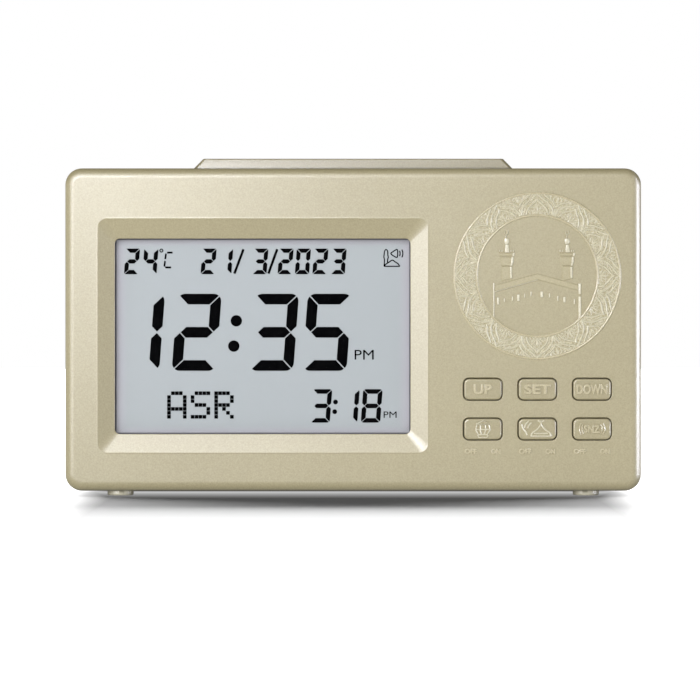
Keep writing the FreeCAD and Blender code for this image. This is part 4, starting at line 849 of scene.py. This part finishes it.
# ================================================================ ornament
SECTORS = 12
ARCH_WIDTH = 0.50 * MM
FINE_WIDTH = 0.32 * MM
LEAF_WIDTH = 0.34 * MM
SCROLL_WIDTH = 0.24 * MM
RELIEF_HEIGHT = 0.32 * MM
LEAF_HEIGHT = 0.7 * RELIEF_HEIGHT
RIM_WIDTH = 0.60 * MM
RIM_STEPS = 180
GROUND_HEIGHT = 0.06 * MM
BEAD_RADIUS = 0.17 * MM
BEADS_PER_SECTOR = 9
BEAD_RINGS = (0.03, 0.95)   # shares of the way from inner to outer rim
RIM_SETBACK = 0.2 * MM      # from a circle's radius to the middle of its rim
MINARETS = (506.6, 567.0)   # middle columns of the two minarets
SLAB_HEIGHT = 0.20 * MM
SLAB_BEVEL = 0.14 * MM
LINE_HEIGHT = 0.36 * MM
LINE_BEVEL = 0.11 * MM


def polar(turn, share):
    """Point of the ornament's band: turn in sectors, share of the way from inner to outer rim."""
    angle = 2 * math.pi * turn / SECTORS + math.pi / 2
    inner, outer = ORNAMENT_INNER + RIM_SETBACK, ORNAMENT_RADIUS - 2 * RIM_SETBACK
    radius = inner + share * (outer - inner)
    return ORNAMENT_X + radius * math.cos(angle), ORNAMENT_Z + radius * math.sin(angle)


def scroll(turn, share, size, hand, start):
    """Spiral leaf stem: a turn and a quarter that tightens to its end."""
    cx, cz = polar(turn, share)
    base = 2 * math.pi * turn / SECTORS + start
    points = []
    for step in range(11):
        angle = base + hand * step * math.pi / 4
        radius = size * (1.0 - step / 13)
        points.append((cx + radius * math.cos(angle), cz + radius * math.sin(angle)))
    return points


ARCH_LINES = (((0.5, 0.0), (0.44, 0.32), (0.27, 0.62), (0.09, 0.80), (0.0, 1.0)),
              ((0.34, 0.0), (0.29, 0.24), (0.16, 0.46), (0.05, 0.58), (0.0, 0.74)),
              ((0.16, 1.0), (0.26, 0.82), (0.41, 0.68), (0.5, 0.44)))
LEAVES = (((0.0, 0.06), (0.02, 0.22), (0.0, 0.42)), ((0.02, 0.08), (0.09, 0.16), (0.10, 0.34)),
          ((0.05, 0.06), (0.15, 0.10), (0.19, 0.24)), ((0.0, 0.78), (0.02, 0.70), (0.0, 0.58)),
          ((0.5, 0.04), (0.48, 0.18), (0.5, 0.36)), ((0.47, 0.05), (0.41, 0.12), (0.42, 0.28)),
          ((0.40, 0.36), (0.33, 0.40), (0.28, 0.54)), ((0.38, 0.08), (0.36, 0.2), (0.32, 0.34)),
          ((0.22, 0.56), (0.14, 0.58), (0.08, 0.70)), ((0.5, 0.98), (0.47, 0.84), (0.5, 0.66)),
          ((0.45, 0.96), (0.38, 0.88), (0.41, 0.74)), ((0.32, 0.98), (0.30, 0.90), (0.34, 0.80)),
          ((0.04, 0.98), (0.10, 0.92), (0.09, 0.82)), ((0.12, 0.90), (0.18, 0.84), (0.19, 0.74)))
SCROLLS = ((0.24, 0.14, 0.5, 1, 2.4), (0.25, 0.90, 0.45, -1, 0.6), (0.44, 0.54, 0.42, 1, 0.6),
           (0.15, 0.72, 0.42, -1, 2.4))


def make_band():
    """Pointed arches, leaves, scrolls and beads, mirrored in each sector of the band."""
    arches, leaves, scrolls, beads = [], [], [], []
    for sector in range(SECTORS):
        for side in (-1, 1):
            for paths, lines in ((arches, ARCH_LINES), (leaves, LEAVES)):
                paths += [[polar(sector + side * turn, share) for turn, share in line]
                          for line in lines]
            scrolls += [scroll(sector + side * turn, share, size * MM, side * hand, start)
                        for turn, share, size, hand, start in SCROLLS]
        for step in range(BEADS_PER_SECTOR):
            beads += [polar(sector + step / BEADS_PER_SECTOR, share) for share in BEAD_RINGS]
    parts = [strokes(arches, ARCH_WIDTH, RELIEF_HEIGHT, FACE_Y),
             strokes(leaves, LEAF_WIDTH, LEAF_HEIGHT, FACE_Y, taper=leaf_taper),
             strokes(scrolls, SCROLL_WIDTH, LEAF_HEIGHT, FACE_Y)]
    only()
    bpy.ops.mesh.primitive_ico_sphere_add(subdivisions=2, radius=BEAD_RADIUS)
    bead = bpy.context.object
    parts += [placed(copied(bead, "bead"), x, z, y=FACE_Y) for x, z in beads]
    bpy.data.objects.remove(bead)
    band = joined(parts, "ornament_band")
    smooth(band, SOFT_CREASE)
    finished(band, RELIEF_PAINT, "case")


def make_rims():
    """The two rounded circles that bound the band, and the low ground between them."""
    parts = []
    radii = (ORNAMENT_RADIUS - RIM_SETBACK, ORNAMENT_INNER - RIM_SETBACK)
    for radius in radii:
        only()
        bpy.ops.mesh.primitive_torus_add(major_radius=radius, minor_radius=RIM_WIDTH / 2,
                                         major_segments=RIM_STEPS, minor_segments=12,
                                         rotation=(math.pi / 2, 0.0, 0.0))
        parts.append(placed(settle(bpy.context.object), ORNAMENT_X, ORNAMENT_Z, y=FACE_Y))
    rims = joined(parts, "ornament_rims")
    smooth(rims, SOFT_CREASE)
    finished(rims, SIGN_PAINT, "case")
    turns = [2 * math.pi * step / RIM_STEPS for step in range(RIM_STEPS)]
    circles = [[(ORNAMENT_X + radius * math.cos(turn), ORNAMENT_Z + radius * math.sin(turn))
                for turn in turns] for radius in radii]
    ground = slabs(circles, GROUND_HEIGHT, 0.2 * GROUND_HEIGHT, FACE_Y)
    ground.name = "ornament_ground"
    smooth(ground)
    finished(ground, LACE_PAINT, "case")


def slabs(outlines, height, bevel, y, steps=0):
    """Flat raised shapes with bevelled edges, from outlines of (x, z) points."""
    curve = bpy.data.curves.new("slab", "CURVE")
    curve.dimensions = "2D"
    curve.fill_mode = "BOTH"
    curve.extrude = height - bevel
    curve.bevel_depth = bevel
    curve.bevel_resolution = steps
    curve.offset = -bevel
    for outline in outlines:
        spline = curve.splines.new("POLY")
        spline.points.add(len(outline) - 1)
        for point, (x, z) in zip(spline.points, outline):
            point.co = (x, z, 0.0, 1.0)
        spline.use_cyclic_u = True
    obj = bpy.data.objects.new("slab", curve)
    bpy.context.scene.collection.objects.link(obj)
    only(obj)
    bpy.ops.object.convert(target="MESH")
    obj = bpy.context.object
    obj.data.transform(Matrix.Translation((0.0, y, 0.0)) @ Matrix.Rotation(math.pi / 2, 4, "X"))
    editing(obj)
    bpy.ops.mesh.remove_doubles(threshold=WELD)
    bpy.ops.mesh.normals_make_consistent(inside=False)
    bpy.ops.object.mode_set(mode="OBJECT")
    return obj


# shapes of one minaret, in steps of the layout grid: across from its middle column, and row
SHAFT_AND_GALLERY = (
    ((-4.9, 266.4), (4.9, 266.4), (5.1, 278.6), (-5.1, 281.2)),
    ((-6.6, 256.8), (6.6, 256.8), (6.2, 262.4), (4.9, 265.6), (-4.9, 265.6), (-6.2, 262.4)),
    ((-8.0, 253.0), (8.0, 253.0), (7.2, 256.0), (-7.2, 256.0)))
# pale strips along the right edges of crown, gallery and shaft are painted highlights; then the
# spire and its knob
RIGHT_EDGE_HIGHLIGHTS_AND_SPIRE = (
    ((6.3, 252.8), (8.3, 252.8), (7.6, 256.2), (5.8, 256.2)),
    ((4.9, 257.0), (7.0, 257.0), (6.6, 262.4), (5.4, 265.8), (3.6, 265.8), (4.6, 262.4)),
    ((3.4, 266.8), (5.3, 266.8), (5.5, 277.8), (3.6, 278.4)),
    ((-1.2, 244.6), (1.9, 244.6), (2.8, 252.4), (-1.6, 252.4)),
    ((-1.9, 238.6), (1.7, 238.6), (2.5, 241.4), (1.5, 244.0), (-1.5, 244.0), (-2.3, 241.4)))
FINIAL_AND_RAIL = (
    ((-0.4, 238.6), (-0.5, 235.6)),
    ((-1.8, 231.0), (-1.4, 233.8), (0.2, 234.8), (1.5, 233.4), (1.4, 230.6)),
    *(((x, 251.8), (x, 250.0)) for x in (-6.8, -4.6, 4.6, 6.8)))
# the shrine's walls; the right one is drawn wider in pale paint, as a painted highlight
SHRINE_WALLS = (((493.3, 283.0), (494.3, 283.0), (494.3, 317.0), (493.3, 316.0)),
                ((578.6, 283.6), (581.0, 283.6), (581.0, 294.0), (578.6, 294.0)),
                ((578.6, 296.6), (581.0, 296.6), (581.0, 316.6), (578.6, 318.6)))
# middle column, top row, length and width of each mark on the shrine's band
SHRINE_MARKS = ((498.2, 297.6, 7.0, 2.0), (504.4, 298.2, 4.0, 0.9), (512.4, 296.4, 4.6, 1.1),
                (518.4, 294.6, 6.4, 2.2), (524.6, 293.6, 4.0, 0.9), (531.0, 291.6, 4.6, 1.0),
                (541.8, 291.6, 5.8, 2.3), (549.4, 293.4, 4.0, 0.9), (557.8, 296.0, 5.0, 1.1),
                (564.4, 297.0, 5.4, 2.1), (574.4, 299.0, 5.0, 1.1))


def at_minarets(shapes):
    return [grid(shape, column) for column in MINARETS for shape in shapes]


def make_shrine():
    """A cube shrine under its cornice, between two minarets."""
    roof = grid([(494.4, 285.4), (537.4, 273.6), (578.4, 285.0), (578.4, 290.8), (537.4, 279.8),
                 (494.4, 291.8)])
    plates = slabs([roof] + at_minarets(SHAFT_AND_GALLERY), SLAB_HEIGHT, SLAB_BEVEL, FACE_Y)
    plates.name = "ornament_buildings"
    smooth(plates)
    finished(plates, SLAB_PAINT, "case")
    lines = [grid(wall) for wall in SHRINE_WALLS]
    for column, top, length, width in SHRINE_MARKS:
        left, right, bottom = column - width / 2, column + width / 2, top + length
        lines.append(grid([(left, top), (right, top), (right, bottom), (left, bottom)]))
    # painted highlight along the roof's lower left edge
    lines.append(grid([(494.4, 291.4), (537.4, 279.4), (537.4, 280.2), (494.4, 292.2)]))
    lines += at_minarets(RIGHT_EDGE_HIGHLIGHTS_AND_SPIRE)
    parts = [slabs(lines, LINE_HEIGHT, LINE_BEVEL, FACE_Y, 1),
             strokes(at_minarets(FINIAL_AND_RAIL), FINE_WIDTH, RELIEF_HEIGHT, FACE_Y, smooth=False)]
    shrine = joined(parts, "ornament_outlines")
    smooth(shrine, SOFT_CREASE)
    finished(shrine, RELIEF_PAINT, "case")


# ================================================================ stage, lights and camera
ROOM_LEVEL = 0.32           # even light from all round
FRONT_LEVEL = 0.55          # the room's brightness in reflections, as shares of white
FRONT_RIGHT_LEVEL = 0.25
OVERHEAD_LEVEL = 0.02
BEHIND_LEVEL = 0.1          # straight behind, where the clock's edges would mirror the white
# spans of a direction's parts over which those levels set in: across, from front to back, and up
FRONT_SPAN = (-0.75, 0.35)
BEHIND_SPAN = (0.4, 0.8)
OVERHEAD_UP, OVERHEAD_DEPTH = (0.04, 0.35), (-0.36, -0.1)
RIGHT_ACROSS, RIGHT_DEPTH = (0.1, 0.6), (-0.9, -0.1)
GLEAM_TINT = (1.0, 1.04, 1.22)      # cool panels, so that highlights on the paint come out white
FLOOR_TONE = 0.08           # dark enough that only its own lamp makes the floor white
FLOOR_LAMP = 63000.0
FLOOR_BOUNCE = 1.05         # the floor's brightness as the clock sees it
UNDER_SHARE = 0.96          # of it taken away under the clock, a painted shadow
UNDER_X = (0.9 * CASE_HIGH.x, 1.4 * CASE_HIGH.x)        # the painted shadow under the clock fades out here
UNDER_Y = (FACE_Y - 8 * MM, FACE_Y + 8 * MM)
BESIDE_X = (0.80 * CASE_HIGH.x, 1.02 * CASE_HIGH.x)     # the floor's painted glow starts beside the clock
# painted glow under the clock's front edge, rising over this span
NEARING_Y = (FACE_Y - 26 * MM, FACE_Y + 32 * MM)
CORE_Y = (3 * MM, 10 * MM)  # and the painted glow under the front edge darkens again behind the clock's middle


def make_camera():
    data = bpy.data.cameras.new("camera")
    data.sensor_width = 36.0
    data.lens = data.sensor_width * CAMERA_DISTANCE / VIEW_WIDTH
    data.clip_start, data.clip_end = 0.01, 20.0
    camera = bpy.data.objects.new("camera", data)
    camera.location = (CAMERA_CENTRE.x, FACE_Y - CAMERA_DISTANCE, CAMERA_CENTRE.z)
    camera.rotation_euler = (math.pi / 2, 0.0, 0.0)
    bpy.context.scene.collection.objects.link(camera)
    bpy.context.scene.camera = camera


def area_light(name, place, target, size, power, diffuse=True, glossy=True, tint=(1.0, 1.0, 1.0)):
    data = bpy.data.lights.new(name, "AREA")
    data.color = tint
    data.shape = "RECTANGLE"
    data.size, data.size_y = size
    data.energy = power
    light = bpy.data.objects.new(name, data)
    light.location = place
    aim = Vector(target) - Vector(place)
    light.rotation_euler = aim.to_track_quat("-Z", "Y").to_euler()
    light.visible_diffuse = diffuse
    light.visible_glossy = glossy
    light.visible_camera = False
    bpy.context.scene.collection.objects.link(light)
    return light


def make_lights():
    """Soft lamps from the front left and from behind, and gleams of six panels on the paint.

    The soft lamps give no highlights, and the panels give highlights alone.
    """
    middle = (0.0, 0.0, 0.04)
    face = (0.0, FACE_Y, 0.04)
    upper_left = (-0.06, FACE_Y, 0.07)
    right_side = (CASE_HIGH.x, 0.0, 0.04)
    ornament = (ORNAMENT_X, FACE_Y, ORNAMENT_Z)
    area_light("front_lamp", (-0.76, -1.42, 0.77), face, (1.2, 1.2), 20.8, glossy=False)
    area_light("back_lamp", (0.55, 1.6, 0.5), middle, (1.2, 1.2), 24.0, glossy=False)
    for name, place, target, size, power in (
            ("corner_gleam", (-0.15, -0.445, 0.20), upper_left, (0.16, 0.16), 2.3),
            ("left_gleam", (-0.465, -0.52, 0.137), face, (0.3, 0.5), 4.0),
            ("upper_gleam", (-0.10, -0.46, 0.41), face, (0.4, 0.25), 1.2),
            ("right_gleam", (0.26, -0.42, 0.10), face, (0.16, 0.4), 0.4),
            ("skim_gleam", (0.50, -0.15, 0.11), ornament, (0.12, 0.4), 2.2),
            ("side_gleam", (0.52, -0.045, 0.04), right_side, (0.35, 0.08), 1.9)):
        area_light(name, place, target, size, power, diffuse=False, tint=GLEAM_TINT)


def make_world():
    """White to the camera; in reflections it darkens in front, overhead and straight behind."""
    world = bpy.data.worlds.new("studio")
    bpy.context.scene.world = world
    world.use_nodes = True
    room = Nodes(world.node_tree)
    room.tree.nodes.clear()
    output = room.tree.nodes.new("ShaderNodeOutputWorld")
    path = room.node("ShaderNodeLightPath").socket.node.outputs
    camera, glossy, through = (Value(room, path[name]) for name in
                               ("Is Camera Ray", "Is Glossy Ray", "Is Transmission Ray"))
    direction = room.node("ShaderNodeTexCoord", output="Generated")
    side, depth, height = room.parts(direction)
    overhead = room.span(height, *OVERHEAD_UP) * room.span(depth, *OVERHEAD_DEPTH)
    front_right = side * room.span(depth, *RIGHT_DEPTH, 1.0, 0.0)
    mirrored = (room.span(depth, *FRONT_SPAN, FRONT_LEVEL, 1.0)
                * room.span(depth, *BEHIND_SPAN, 1.0, BEHIND_LEVEL)
                * (1.0 - overhead * (1.0 - OVERHEAD_LEVEL))
                * room.span(front_right, *RIGHT_ACROSS, 1.0, FRONT_RIGHT_LEVEL))
    plain = 1.0 - (camera | through)
    level = (camera | through) + plain * (glossy * mirrored + (1.0 - glossy) * ROOM_LEVEL)
    light = room.node("ShaderNodeBackground", {}, {"Color": (1.0, 1.0, 1.0), "Strength": level})
    room.feed(output.inputs["Surface"], light)


def make_floor():
    """Pale floor; a wide lamp of its own, from behind, lays the clock's soft shadow before it. A
    painted glow beside the clock and under its front edge shapes that shadow for the camera, and
    the floor's even glow as the clock sees it has a painted shadow under the clock.
    """
    only()
    bpy.ops.mesh.primitive_circle_add(vertices=64, radius=6.0, fill_type="NGON")
    floor = bpy.context.object
    floor.name = "floor"
    paint = Paint("floor_pale", roughness=0.9, specular_ior_level=0.0)
    seen = paint.node("ShaderNodeLightPath", output="Is Camera Ray")
    x, y, _ = paint.parts(paint.place())
    # painted glow beside the clock and under its front edge; painted shadow under it in the glow
    # the clock sees
    beside = paint.span(abs(x), *BESIDE_X)
    nearing = paint.span(y, *NEARING_Y)
    beneath = nearing * (nearing * 0.3 + 0.3) * paint.span(y, *CORE_Y, 1.0, 0.1) | 0.03
    under = (1.0 - paint.span(abs(x), *UNDER_X)) * paint.span(y, *UNDER_Y)
    bounce = FLOOR_BOUNCE * (1.0 - UNDER_SHARE * under)
    paint.set(base_color=paint.blend(seen, (0.0, 0.0, 0.0), (FLOOR_TONE,) * 3),
              emission_color=(1.0 - seen) * bounce + seen * (beside | beneath),
              emission_strength=1.0)
    floor.data.materials.append(paint.material)
    lit = bpy.data.collections.new("lit_by_floor_lamp")
    lit.objects.link(floor)
    lamp = area_light("floor_lamp", (0.0, 10.5, 9.5), (0.0, 0.0, 0.0), (30.0, 5.8), FLOOR_LAMP)
    lamp.light_linking.receiver_collection = lit


# ================================================================ the whole clock
make_camera()
make_lights()
make_world()
make_floor()
node_slots = dress_frame()
for node_name in ("front_case", "rear_cover", "snooze_bar", "battery_door", "case_screws",
                  "battery_lower", "battery_upper", "speaker_cone", "battery_minus_spring",
                  "battery_bridge_spring"):
    skin(node_name)
for key_name in KEY_NAMES:
    skin("key_" + key_name)
make_display()
make_key_signs()
make_switch_marks()
make_band()
make_rims()
make_shrine()

bpy.context.scene.view_settings.view_transform = "Standard"
